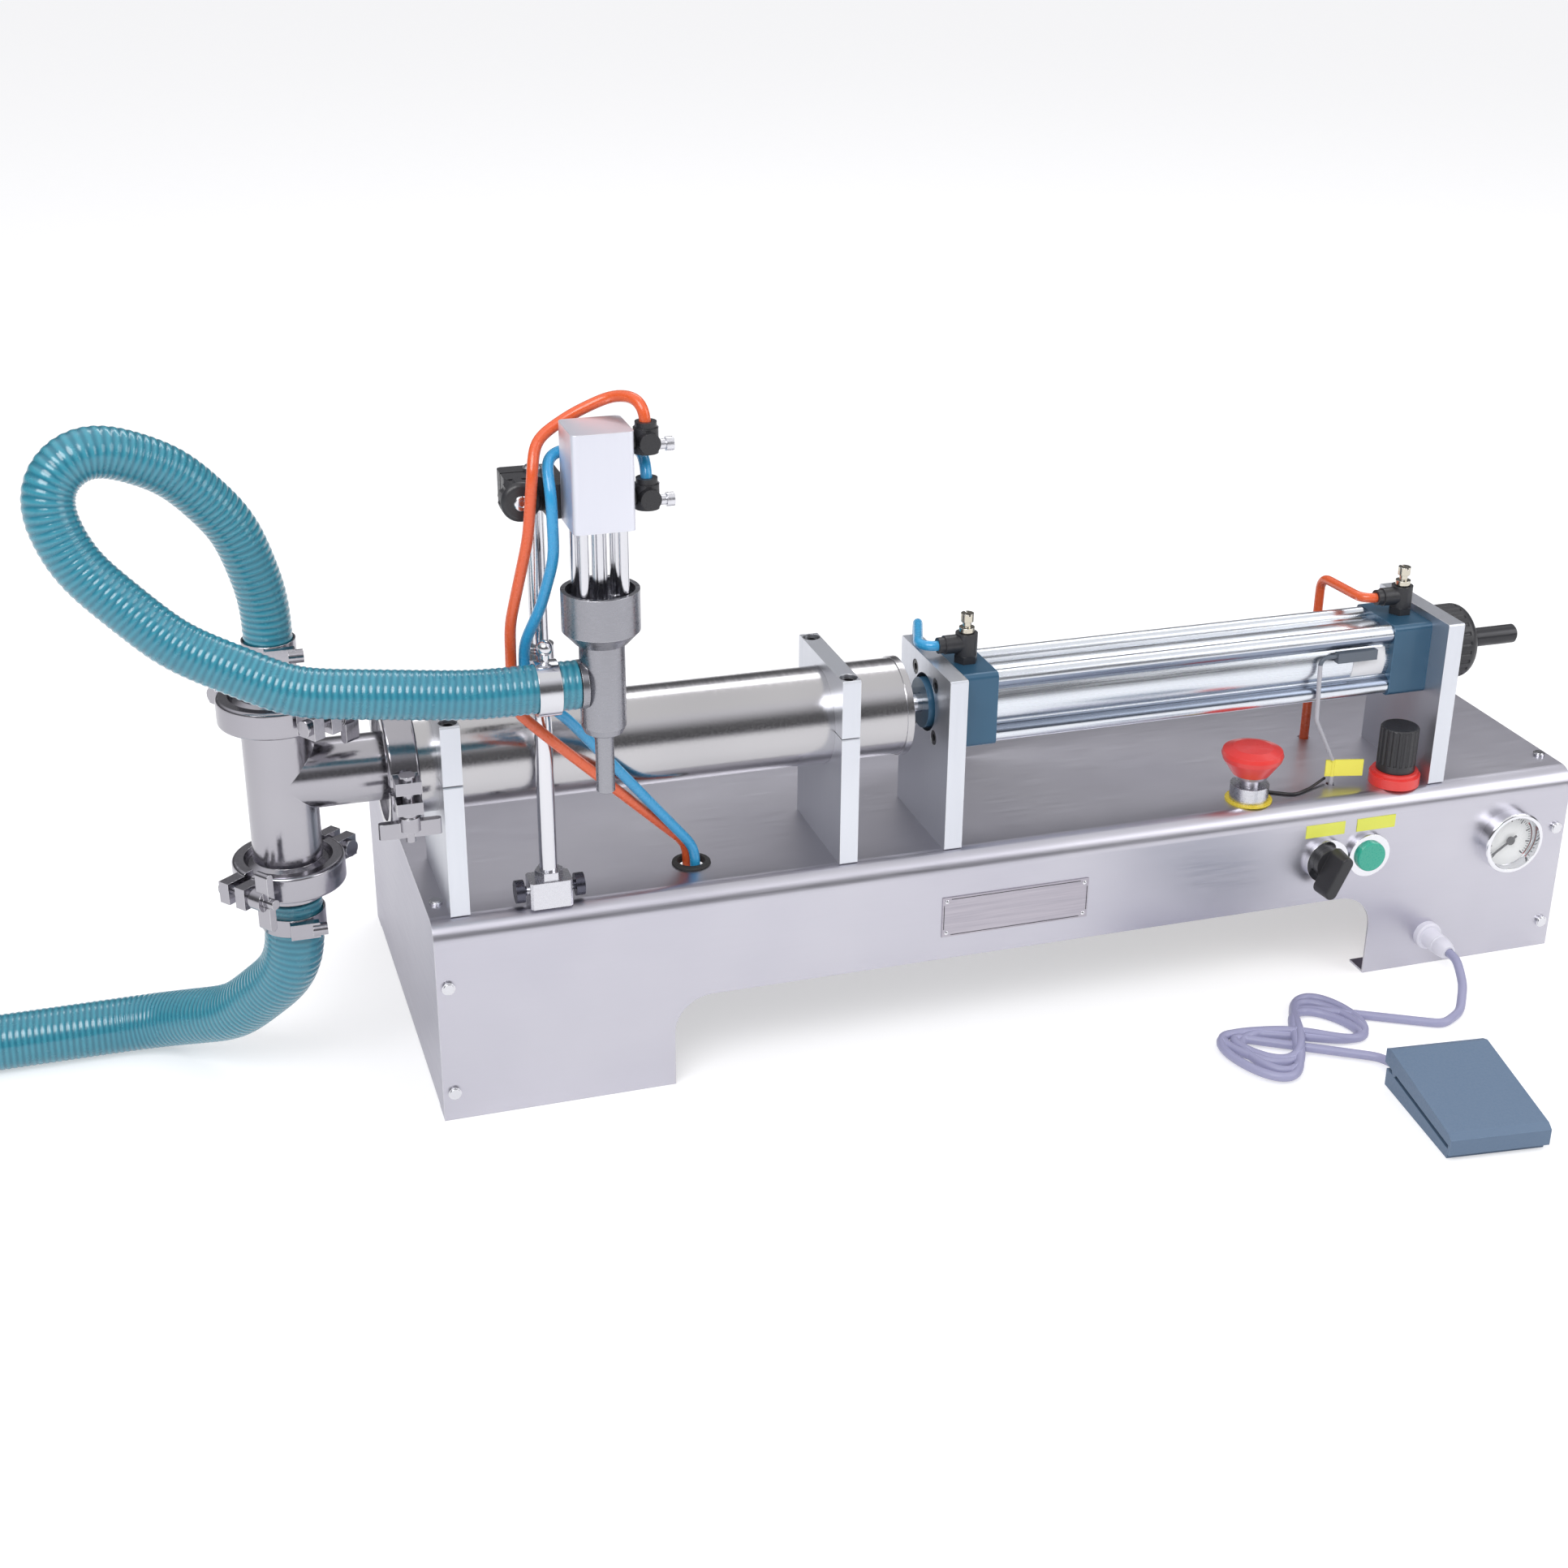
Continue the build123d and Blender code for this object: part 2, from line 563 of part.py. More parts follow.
def clamp_ring(flange_r, half_depth):
    """Two-part ring clamp about Z: grooved halves with hinge and bolt lugs, split along Y."""
    outer = flange_r + 5.5
    half_w = half_depth + 3.2
    with BuildPart() as ring:
        disc(Plane.XY.offset(-half_w), outer, 2 * half_w)
        fillet(ring.edges(), 2.0)
        for side in (-1, 1):
            with Locations((0, side * (outer + 4), 0)):
                Box(CLAMP_GAP + 2 * LUG_T, 16, 2 * half_w - 3)
        disc(Plane.XY.offset(-half_w - 1), flange_r - 1.0, 2 * half_w + 2, Mode.SUBTRACT)
        disc(Plane.XY.offset(-half_depth), flange_r + 0.3, 2 * half_depth, Mode.SUBTRACT)
        with Locations((0, 0, 0)):
            Box(CLAMP_GAP, 4 * outer, 4 * half_w, mode=Mode.SUBTRACT)
        for side in (-1, 1):
            with BuildSketch(Plane(origin=(0, side * (outer + 6), 0), x_dir=(0, 1, 0), z_dir=(1, 0, 0))):
                Circle(3.1)
            extrude(amount=40, both=True, mode=Mode.SUBTRACT)
    return ring.part


def clamp_bolts(flange_r):
    """Hinge pin on one side; eye bolt with washer and wing nut on the other."""
    outer = flange_r + 5.5
    reach = CLAMP_GAP / 2 + LUG_T
    with BuildPart() as bolts:
        for side in (-1, 1):
            seat = Plane(origin=(-reach, side * (outer + 6), 0), x_dir=(0, 1, 0), z_dir=(1, 0, 0))
            disc(seat.offset(-2.5), 4.6, 2.5)
            disc(seat, 3.0, 2 * reach)
            disc(seat.offset(2 * reach), 4.8, 2.5)
        wing_side = Plane(origin=(reach + 2.5, -(outer + 6), 0), x_dir=(0, 1, 0), z_dir=(1, 0, 0))
        disc(wing_side, 6.0, 8.0)
        disc(wing_side, 2.8, 15.0)
        with BuildSketch(wing_side.offset(3)):
            with Locations((0, 9), (0, -9)):
                SlotOverall(16, 4.5, rotation=90)
        extrude(amount=9.0)
    return bolts.part


def make_clamps():
    frames = clamp_frames()
    rings = [frame.location * clamp_ring(radius, depth) for frame, radius, depth in frames]
    bolts = [frame.location * clamp_bolts(radius) for frame, radius, depth in frames]
    with BuildPart() as halves:
        add(rings)
    save(halves, "clamp_halves")
    with BuildPart() as hardware:
        add(bolts)
    save(hardware, "wing_bolts")


def make_adaptors():
    low, high = TEE_BOTTOM - GASKET_T, TEE_TOP + GASKET_T
    inlet = turned([
        (SEAT_R, low), (FERRULE_R, low), (FERRULE_R, low - FLANGE_T), (TEE_R, low - FLANGE_T - CONE_L),
        (TEE_R, low - 14), (SUCTION_BORE_R - FIT, low - 16),
        (SUCTION_BORE_R - FIT, low - 36), (SEAT_R, low - 36),
    ], CENTRE)
    outlet = turned([
        (15.0, high), (FERRULE_R, high), (FERRULE_R, high + FLANGE_T), (TEE_R, high + FLANGE_T + CONE_L),
        (TEE_R, high + 16), (DELIVERY_BORE_R - FIT, high + 22), (DELIVERY_BORE_R - FIT, high + 44),
        (7.5, high + 44), (7.5, high + 18), (15.0, high + 13),
    ], CENTRE)
    with BuildPart() as adaptors:
        add(inlet)
        add(outlet)
    save(adaptors, "hose_adaptors")


def make_poppet(seat_z, name):
    """Mushroom check poppet: disc on its seat and a three-wing guide in the seat bore."""
    with BuildPart() as poppet:
        disc(upright(TEE_X, AXIS_Y, seat_z), POPPET_R, POPPET_T)
        with BuildSketch(upright(TEE_X, AXIS_Y, seat_z)):
            Circle(2.5)
            with PolarLocations(4.6, 3):
                Rectangle(9.0, 2.0)
        extrude(amount=-12)
        fillet(poppet.faces().sort_by(Axis.Z)[-1].edges(), 1.0)
    save(poppet, name)


# ---- hoses --------------------------------------------------------------------------

DELIVERY_START_Z = TEE_TOP + GASKET_T + 23.0
DELIVERY_END_X = HEAD_X - 13.5
SUCTION_START_Z = TEE_BOTTOM - GASKET_T - 17.0
SUCTION_END = (-622.0, 4.0, SUCTION_R)

DELIVERY_PATH = [
    (TEE_X, AXIS_Y, DELIVERY_START_Z),
    (TEE_X, AXIS_Y, 340),
    (-476, -92, 398),
    (-537, -108, 406),
    (-537, -122, 342),
    (-470, -138, 292),
    (-395, -152, 273),
    (-340, HEAD_Y, INLET_Z),
    (DELIVERY_END_X, HEAD_Y, INLET_Z),
]
SUCTION_PATH = [
    (TEE_X, AXIS_Y, SUCTION_START_Z),
    (TEE_X, AXIS_Y, 88),
    (-470, -42, 40),
    (-515, 4, SUCTION_R),
    SUCTION_END,
]


def make_hoses():
    with BuildPart() as delivery:
        tube_along(DELIVERY_PATH, DELIVERY_R, 34.0, DELIVERY_BORE_R)
    save(delivery, "delivery_hose")
    with BuildPart() as suction:
        tube_along(SUCTION_PATH, SUCTION_R, 58.0, SUCTION_BORE_R)
    save(suction, "suction_hose")


def make_hose_clamps():
    with BuildPart() as bands:
        for z, radius in ((SUCTION_START_Z - 12, SUCTION_R), (DELIVERY_START_Z + 10, DELIVERY_R)):
            disc(upright(TEE_X, AXIS_Y, z - 5), radius + 1.3, 10)
            disc(upright(TEE_X, AXIS_Y, z - 6), radius + 0.4, 12, Mode.SUBTRACT)
            block(facing_front(TEE_X + 4, z, AXIS_Y - radius - 1.0), 16, 9, 5)
            disc(sideways(TEE_X + 8, AXIS_Y - radius - 4.5, z), 3.6, 8)
    save(bands, "hose_clamps")


# ---- stand and filling head ---------------------------------------------------------

FOOT_H = 16.0
CLAMP_Z = 366.0
BLOCK_SIDE, BLOCK_LOW, BLOCK_TOP = 32.0, 357.6, 408.6
CUP_LOW, CUP_FLOOR, CUP_TOP, CUP_R = 294.5, 311.0, 323.5, 20.5
BODY_R, BODY_LOW = 12.0, 243.0
STEM_R = 4.0
POST_OFF = 10.3


def make_stand():
    with BuildPart() as rod:
        disc(upright(ROD_X, ROD_Y, CASE_H + 2), STAND_R, STAND_TOP - CASE_H - 2)
        disc(upright(ROD_X, ROD_Y, CASE_H + 2), 4.0, -16)
        chamfer(rod.faces().sort_by(Axis.Z)[-1].edges(), 1.0)
    save(rod, "stand_rod")
    with BuildPart() as foot:
        block(upright(ROD_X, ROD_Y, CASE_H), 24, 16, FOOT_H)
        chamfer(foot.edges().filter_by(Axis.Z), 1.5)
        with BuildSketch(upright(ROD_X, ROD_Y, CASE_H + FOOT_H)):
            RegularPolygon(8.0, 6)
        extrude(amount=5)
        disc(upright(ROD_X, ROD_Y, CASE_H + 2), STAND_R + FIT, 30, Mode.SUBTRACT)
        disc(upright(ROD_X, ROD_Y, CASE_H + 5), 4.1, -10, Mode.SUBTRACT)
        for side in (-1, 1):
            disc(sideways(ROD_X + side * 12.0, ROD_Y, CASE_H + 9), 2.6, side * 4)
            disc(sideways(ROD_X + side * 14.5, ROD_Y, CASE_H + 9), 6.5, side * 5)
    save(foot, "rod_foot")


def make_head_bracket():
    low = CLAMP_Z - 9
    with BuildPart() as bracket:
        block(upright(ROD_X - 2, ROD_Y, low), 30, 22, 18)
        block(upright(-283.5, -137.0, low), 23, 20, 18)
        fillet(bracket.edges().filter_by(Axis.Z), 2.5)
        disc(upright(ROD_X, ROD_Y, low - 1), STAND_R + FIT, 20, Mode.SUBTRACT)
        block(upright(ROD_X - 14, ROD_Y, low - 1), 22, 1.6, 20, Mode.SUBTRACT)
        disc(facing_front(ROD_X - 11, CLAMP_Z, ROD_Y - 20), 3.05, -40, Mode.SUBTRACT)
    save(bracket, "head_bracket")
    with BuildPart() as knob:
        face = facing_front(ROD_X - 11, CLAMP_Z, ROD_Y - 11.2)
        disc(face, 3.0, -21)
        disc(face, 6.0, 3)
        disc(face.offset(3), 10.5, 11)
        fillet(knob.faces().sort_by(Axis.Y)[0].edges(), 3.0)
        with BuildSketch(face.offset(3)):
            with PolarLocations(11.4, 10):
                Circle(1.9)
        extrude(amount=8, mode=Mode.SUBTRACT)
    save(knob, "head_clamp_knob")


def make_hose_clip():
    clip_x = ROD_X - 6.0
    reach = ROD_Y - HEAD_Y - DELIVERY_R - 5.2
    with BuildPart() as clip:
        disc(sideways(clip_x - 6, HEAD_Y, INLET_Z), DELIVERY_R + 1.8, 12)
        block(facing_front(clip_x, INLET_Z, ROD_Y - 4), 6, 12, reach)
        disc(sideways(clip_x - 7, HEAD_Y, INLET_Z), DELIVERY_R + FIT * 5, 14, Mode.SUBTRACT)
        disc(upright(ROD_X, ROD_Y, INLET_Z - 8), 7.6, 16)
        disc(upright(ROD_X, ROD_Y, INLET_Z - 9), STAND_R + FIT, 18, Mode.SUBTRACT)
        disc(upright(clip_x, HEAD_Y, INLET_Z + DELIVERY_R + 1), 2.2, 6)
        with Locations((clip_x, HEAD_Y, INLET_Z + DELIVERY_R + 9)):
            Sphere(4.2)
    save(clip, "hose_clip")


def make_head_block():
    with BuildPart() as block_part:
        block(upright(HEAD_X, HEAD_Y, BLOCK_LOW), BLOCK_SIDE, BLOCK_SIDE, BLOCK_TOP - BLOCK_LOW)
        fillet(block_part.edges().filter_by(Axis.Z), 3.0)
        disc(upright(HEAD_X, HEAD_Y, BLOCK_LOW + 9), 12.0, BLOCK_TOP - BLOCK_LOW - 17, Mode.SUBTRACT)
        disc(upright(HEAD_X, HEAD_Y, BLOCK_LOW - 1), STEM_R + FIT, 20, Mode.SUBTRACT)
        for z in FITTING_ZS:
            disc(sideways(HEAD_X + BLOCK_SIDE / 2, HEAD_Y, z), 2.6 + FIT, -3, Mode.SUBTRACT)
    save(block_part, "head_air_block")
    with BuildPart() as posts:
        with Locations(upright(HEAD_X, HEAD_Y, CUP_FLOOR).location):
            with GridLocations(2 * POST_OFF, 2 * POST_OFF, 2, 2):
                Cylinder(2.6, BLOCK_LOW - CUP_FLOOR, align=(Align.CENTER, Align.CENTER, Align.MIN))
                Cylinder(3.4, 5, align=(Align.CENTER, Align.CENTER, Align.MIN))
    save(posts, "head_posts")


FITTING_ZS = (370.5, 399.5)


def make_head_fittings():
    x = HEAD_X + BLOCK_SIDE / 2
    with BuildPart() as fittings:
        for z in FITTING_ZS:
            disc(sideways(x, HEAD_Y, z), 2.6, -2.5)
            disc(sideways(x, HEAD_Y, z), 4.5, 3)
            disc(upright(x + 9.5, HEAD_Y, z - 6.5), 6.5, 13)
            disc(upright(x + 9.5, HEAD_Y, z + 6.5), 5.6, 3)
            disc(upright(x + 9.5, HEAD_Y, z), 3.0, 12, Mode.SUBTRACT)
            disc(facing_front(x + 9.5, z, HEAD_Y), 5.4, 9.5)
            disc(sideways(x + 15.5, HEAD_Y, z - 3), 2.6, 4)
            disc(sideways(x + 19.5, HEAD_Y, z - 3), 3.6, 4)
    save(fittings, "head_flow_controls")


def make_valve():
    centre = (HEAD_X, HEAD_Y, 0)
    cup_shape = turned([
        (STEM_R + FIT, CUP_LOW), (14.0, CUP_LOW), (CUP_R, CUP_LOW + 7), (CUP_R, CUP_TOP), (18.0, CUP_TOP),
        (18.0, CUP_FLOOR), (STEM_R + FIT, CUP_FLOOR),
    ], centre)
    with BuildPart() as cup:
        add(cup_shape)
    save(cup, "valve_cup")
    shell = turned([
        (4.0 + FIT, BODY_LOW), (7.5, BODY_LOW), (10.4, BODY_LOW + 1.6), (BODY_R, BODY_LOW + 5.5),
        (BODY_R, CUP_LOW), (8.5, CUP_LOW), (8.5, BODY_LOW + 6), (4.0 + FIT, BODY_LOW + 6),
    ], centre)
    with BuildPart() as body:
        add(shell)
        disc(sideways(HEAD_X - 9.5, HEAD_Y, INLET_Z), DELIVERY_BORE_R - FIT, -26)
        disc(sideways(HEAD_X - 9.5, HEAD_Y, INLET_Z), DELIVERY_R, -3.5)
        disc(sideways(HEAD_X, HEAD_Y, INLET_Z), 7.5, -60, Mode.SUBTRACT)
    save(body, "valve_body")
    with BuildPart() as nozzle:
        disc(upright(HEAD_X, HEAD_Y, NOZZLE_TIP_Z), NOZZLE_R, BODY_LOW - NOZZLE_TIP_Z)
        disc(upright(HEAD_X, HEAD_Y, BODY_LOW), 4.0, 5)
        disc(upright(HEAD_X, HEAD_Y, NOZZLE_TIP_Z - 1), NOZZLE_BORE_R, 60, Mode.SUBTRACT)
        chamfer(nozzle.edges().filter_by(GeomType.CIRCLE).group_by(Axis.Z)[0], 0.8)
    save(nozzle, "nozzle_tip")
    stem_shape = turned([
        (0, BODY_LOW + 6), (3.9, BODY_LOW + 6), (7.0, BODY_LOW + 11), (7.0, BODY_LOW + 15),
        (STEM_R, BODY_LOW + 18), (STEM_R, BLOCK_LOW + 10), (12.0 - FIT, BLOCK_LOW + 10),
        (12.0 - FIT, BLOCK_LOW + 20), (0, BLOCK_LOW + 20),
    ], centre)
    with BuildPart() as stem:
        add(stem_shape)
    save(stem, "valve_stem")


def make_head_tubes():
    side_x = HEAD_X + BLOCK_SIDE / 2 + 9.5
    orange = [
        (side_x, HEAD_Y, FITTING_ZS[1] + 5.6),
        (side_x, HEAD_Y, BLOCK_TOP + 12),
        (-259, -141, BLOCK_TOP + 9),
        (-280, -139, BLOCK_TOP),
        (-300, -143, 398),
        (-304, -154, 384),
        (-307, -152, 350),
        (-316.5, -141, 300),
        (-316.5, -138, 252),
        (-296, -134, 230),
        (GROMMET_X - 1.4, GROMMET_Y + 3.2, 136),
        (GROMMET_X - 1.4, GROMMET_Y + 3.2, 112),
    ]
    blue = [
        (side_x, HEAD_Y, FITTING_ZS[0] + 5.6),
        (side_x, HEAD_Y, FITTING_ZS[0] + 15.5),
        (side_x + 2, -140, 391),
        (-295, -141, 391),
        (-295.5, -157, 374),
        (-295, -157, 340),
        (-301, -147, 310),
        (-309.3, -139, 288),
        (-309.3, -137, 262),
        (-286, -131, 240),
        (GROMMET_X + 1.4, GROMMET_Y - 3.2, 136),
        (GROMMET_X + 1.4, GROMMET_Y - 3.2, 112),
    ]
    with BuildPart() as tubes:
        tube_along(orange, AIR_TUBE_R, 8.0)
        tube_along(blue, AIR_TUBE_R, 7.0)
    save(tubes, "head_air_tubes")


# ---- controls -----------------------------------------------------------------------



def make_estop():
    def ring(z):
        return upright(ESTOP_X, ESTOP_Y, z)
    with BuildPart() as body:
        disc(ring(CASE_H), 14.5, 1.2)
        disc(ring(CASE_H + 1.2), 12.0, 9.8)
        disc(ring(CASE_H + 1.2), 11.0, -22)
        block(ring(CASE_H - 20.8), 28, 32, -26)
        disc(ring(CASE_H + 12), 6.0 + FIT, -28, Mode.SUBTRACT)
    save(body, "estop_body")
    head = turned([
        (0, CASE_H - 8), (6.0, CASE_H - 8), (6.0, CASE_H + 16.2), (10.5, CASE_H + 16.2), (11.5, CASE_H + 18),
        (18.2, CASE_H + 28), (19.0, CASE_H + 31), (18.2, CASE_H + 33.5),
        (12.0, CASE_H + 35.5), (0, CASE_H + 36),
    ], (ESTOP_X, ESTOP_Y, 0))
    with BuildPart() as button:
        add(head)
    save(button, "estop_button")


def make_panel_switches():
    with BuildPart() as bodies:
        for x in (SELECTOR_X, START_X):
            disc(facing_front(x, PANEL_Z), 14.3, 3.5)
            disc(facing_front(x, PANEL_Z), 11.0, -20)
            block(facing_front(x, PANEL_Z, FRONT_Y + 20), 26, 30, -24)
            disc(facing_front(x, PANEL_Z, FRONT_Y - 8), 9.8 + FIT, -16, Mode.SUBTRACT)
    save(bodies, "switch_bodies")
    with BuildPart() as selector:
        disc(facing_front(SELECTOR_X, PANEL_Z, FRONT_Y + 6), 9.8, 14)
        lever = turned_front(SELECTOR_X, PANEL_Z, FRONT_Y - 8, -25)
        with BuildSketch(lever):
            with Locations((0, -4)):
                SlotOverall(31, 10, rotation=90)
        extrude(amount=14, taper=4)
        fillet(selector.faces().sort_by(Axis.Y)[0].edges(), 1.2)
    save(selector, "selector_knob")
    with BuildPart() as cap:
        disc(facing_front(START_X, PANEL_Z, FRONT_Y + 3), 9.8, 9.5)
        fillet(cap.faces().sort_by(Axis.Y)[0].edges(), 1.0)
    save(cap, "start_cap")


def make_gauge():
    front = facing_front(GAUGE_X, GAUGE_Z)
    with BuildPart() as case:
        disc(front, 20.8, 9)
        fillet(case.faces().sort_by(Axis.Y)[0].edges(), 1.5)
        disc(front, 18.5, -26)
        disc(front.offset(-26), 5.0, -14)
        disc(front.offset(2), 18.0, 20, Mode.SUBTRACT)
        disc(front.offset(3), 1.5 + FIT, -12, Mode.SUBTRACT)
    save(case, "gauge_case")
    with BuildPart() as lens:
        disc(front.offset(6.8), 18.0, 1.4)
    save(lens, "gauge_lens")
    with BuildPart() as needle:
        disc(front.offset(-4), 1.5, 8.6)
        disc(front.offset(3.4), 2.8, 1.2)
        pointer = turned_front(GAUGE_X, GAUGE_Z, FRONT_Y - 3.4, 35)
        with BuildSketch(pointer):
            with Locations((-5.0, 0)):
                Rectangle(20, 1.2)
        extrude(amount=0.8)
    save(needle, "gauge_needle")


def make_regulator():
    def level(z):
        return upright(REGULATOR_X, REGULATOR_Y, z)
    with BuildPart() as body:
        disc(level(CASE_H), 15.8, 6.5)
        disc(level(CASE_H + 6.5), 14.2, 2.5)
        disc(level(CASE_H), 10.0, -20)
        block(level(CASE_H - 20), 24, 32, -50)
        disc(level(CASE_H + 12), 7.0 + FIT, -22, Mode.SUBTRACT)
    save(body, "regulator_body")
    with BuildPart() as knob:
        disc(level(CASE_H + 9.3), 12.0, 29)
        fillet(knob.faces().sort_by(Axis.Z)[-1].edges(), 2.0)
        disc(level(CASE_H + 9.3), 7.0, -12)
        with BuildSketch(level(CASE_H + 14)):
            with PolarLocations(12.6, 20):
                Circle(1.3)
        extrude(amount=30, mode=Mode.SUBTRACT)
    save(knob, "regulator_knob")


# ---- foot switch and hidden valve ---------------------------------------------------

def pedal_plane(z=0.0):
    return Plane(origin=(PEDAL_X, PEDAL_Y, z), x_dir=(1, 0, 0), z_dir=(0, 0, 1)).rotated((0, 0, PEDAL_TURN))


PIVOT_LOCAL_Y, PIVOT_Z = 32.0, 13.0
PIVOT_R = 2.5


def pedal_section(points, offset=0.0):
    """Side profile (depth, height) of the foot switch, at a distance from its middle."""
    origin = pedal_plane().from_local_coords((offset, 0, 0))
    side = Plane(origin=origin, x_dir=pedal_plane().y_dir, z_dir=pedal_plane().x_dir)
    with BuildSketch(side) as profile:
        with BuildLine():
            Polyline(*points, close=True)
        make_face()
    return profile.sketch


def make_pedal():
    half = PEDAL_L / 2
    with BuildPart() as base:
        side = pedal_section([(-half + 3, 0), (half, 0), (half, 11), (-half + 6, 6), (-half + 3, 6)])
        extrude(side, amount=PEDAL_W / 2, both=True)
        for side in (-1, 1):
            ear = Plane(origin=pedal_plane().from_local_coords((side * 14, PIVOT_LOCAL_Y, PIVOT_Z)),
                        x_dir=pedal_plane().y_dir, z_dir=pedal_plane().x_dir)
            with BuildSketch(ear):
                with Locations((0, -2)):
                    Rectangle(10, 10)
            extrude(amount=2.5, both=True)
            with BuildSketch(ear):
                Circle(PIVOT_R + FIT)
            extrude(amount=6, both=True, mode=Mode.SUBTRACT)
    save(base, "pedal_base")
    skin = [
        (-half - 1, 4), (-half - 1, 14), (-half + 3, 16.5), (half - 4, 26), (half + 1, 24), (half + 1, 15),
        (half - 2.5, 15), (half - 2.5, 22.5), (-half + 4, 12.8), (-half + 1.5, 11), (-half + 1.5, 4),
    ]
    cheek = [
        (-half - 1, 4), (-half + 1.5, 4), (-half + 1.5, 9.7), (half + 1, 15), (half + 1, 24), (half - 4, 26),
        (-half + 3, 16.5), (-half - 1, 14),
    ]
    with BuildPart() as plate:
        extrude(pedal_section(skin), amount=PEDAL_W / 2 + 1, both=True)
        for side in (-1, 1):
            extrude(pedal_section(cheek, side * (PEDAL_W / 2 + 1)), amount=-side * 2.0)
        pin = Plane(origin=pedal_plane().from_local_coords((0, PIVOT_LOCAL_Y, PIVOT_Z)),
                    x_dir=pedal_plane().y_dir, z_dir=pedal_plane().x_dir)
        with BuildSketch(pin):
            Circle(PIVOT_R)
        extrude(amount=PEDAL_W / 2, both=True)
    save(plate, "pedal_plate")


CABLE_R = 2.5
COIL_X, COIL_Y = 152.0, -208.0


def coil_corners():
    """Corners of the spare cable, laid in rising racetrack loops that turn a little each time."""
    corners = []
    spots = ((1, 1), (-1, 1), (-1, -1), (1, -1))
    for i in range(10):
        sx, sy = spots[i % 4]
        turn = math.radians(8 + 14 * (i // 4))
        x = COIL_X + 48 * sx * math.cos(turn) - 25 * sy * math.sin(turn)
        y = COIL_Y + 48 * sx * math.sin(turn) + 25 * sy * math.cos(turn)
        corners.append((x, y, CABLE_R + 0.2 + 1.8 * i))
    return corners


def make_pedal_cable():
    level = CABLE_R + 0.2
    behind = pedal_plane().from_local_coords((-16, PEDAL_L / 2 + 16, 6.0))
    end = pedal_plane().from_local_coords((-16, PEDAL_L / 2 + 1.5, 6.0))
    points = [
        (SOCKET_X, FRONT_Y - 24, SOCKET_Z),
        (SOCKET_X, FRONT_Y - 42, SOCKET_Z),
        (SOCKET_X - 14, FRONT_Y - 50, level),
        *coil_corners(),
        tuple(behind),
        tuple(end),
    ]
    with BuildPart() as cable:
        disc(facing_front(SOCKET_X, SOCKET_Z), 9.0, 5)
        disc(facing_front(SOCKET_X, SOCKET_Z), 6.0, -12)
        disc(facing_front(SOCKET_X, SOCKET_Z, FRONT_Y - 5), 6.5, 21)
        tube_along(points, CABLE_R, 9.0)
    save(cable, "pedal_cable")


def make_solenoid_valve():
    top = CASE_H - SHEET
    with BuildPart() as valve:
        block(upright(60, 20, top), 80, 27, -38)
        for side in (-1, 1):
            block(upright(60 + side * 52, 20, top - 8), 24, 22, -26)
            disc(facing_front(60 + side * 14, top - 26, 6.5), 4.5, 10)
            disc(facing_front(60 + side * 14, top - 26, -3.5), 5.5, 14)
    save(valve, "solenoid_valve")


make_base_cover()
make_end_plates()
make_case_screws()
make_panel_labels()
make_tube_supports()
make_cylinder_plate(FRONT_PLATE_X, 17.5, "front_cylinder_plate", -1)
make_cylinder_plate(REAR_PLATE_X, 11.0 + FIT, "rear_cylinder_plate", 1)
make_socket_screws()
make_metering_tube()
make_piston_group()
make_cylinder_caps()
make_air_barrel()
make_adjuster()
make_reed_switch()
make_flow_controls()
make_cylinder_tubes()
make_tee_body()
make_gaskets()
make_clamps()
make_adaptors()
make_poppet(TEE_BOTTOM - GASKET_T, "inlet_poppet")
make_poppet(TEE_TOP, "outlet_poppet")
make_hoses()
make_hose_clamps()
make_stand()
make_head_bracket()
make_hose_clip()
make_head_block()
make_head_fittings()
make_valve()
make_head_tubes()
make_estop()
make_panel_switches()
make_gauge()
make_regulator()
make_pedal()
make_pedal_cable()
make_solenoid_valve()
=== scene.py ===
import math

import bpy
from mathutils import Matrix, Vector


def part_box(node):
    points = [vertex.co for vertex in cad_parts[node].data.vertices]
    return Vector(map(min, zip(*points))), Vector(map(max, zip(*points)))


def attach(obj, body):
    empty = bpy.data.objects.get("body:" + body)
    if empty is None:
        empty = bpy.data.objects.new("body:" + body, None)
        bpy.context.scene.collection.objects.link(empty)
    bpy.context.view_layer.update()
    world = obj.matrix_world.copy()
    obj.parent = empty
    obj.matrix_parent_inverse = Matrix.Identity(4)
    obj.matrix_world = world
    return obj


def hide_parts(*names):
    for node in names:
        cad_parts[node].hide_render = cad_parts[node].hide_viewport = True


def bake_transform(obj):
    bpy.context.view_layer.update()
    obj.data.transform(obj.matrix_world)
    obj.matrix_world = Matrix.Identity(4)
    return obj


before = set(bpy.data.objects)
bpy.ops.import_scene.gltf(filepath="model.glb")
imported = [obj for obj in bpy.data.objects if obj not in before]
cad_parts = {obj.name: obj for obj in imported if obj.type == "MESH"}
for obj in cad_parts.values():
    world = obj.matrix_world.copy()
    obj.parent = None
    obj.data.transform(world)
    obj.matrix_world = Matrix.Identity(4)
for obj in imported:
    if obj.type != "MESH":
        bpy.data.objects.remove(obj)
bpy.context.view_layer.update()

MM = 0.001
SQUARE = ((-1, -1), (1, -1), (1, 1), (-1, 1))


# ---- places, all from the frame -----------------------------------------------------

def middle(name):
    """The middle of a node's box."""
    low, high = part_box(name)
    return (low + high) / 2


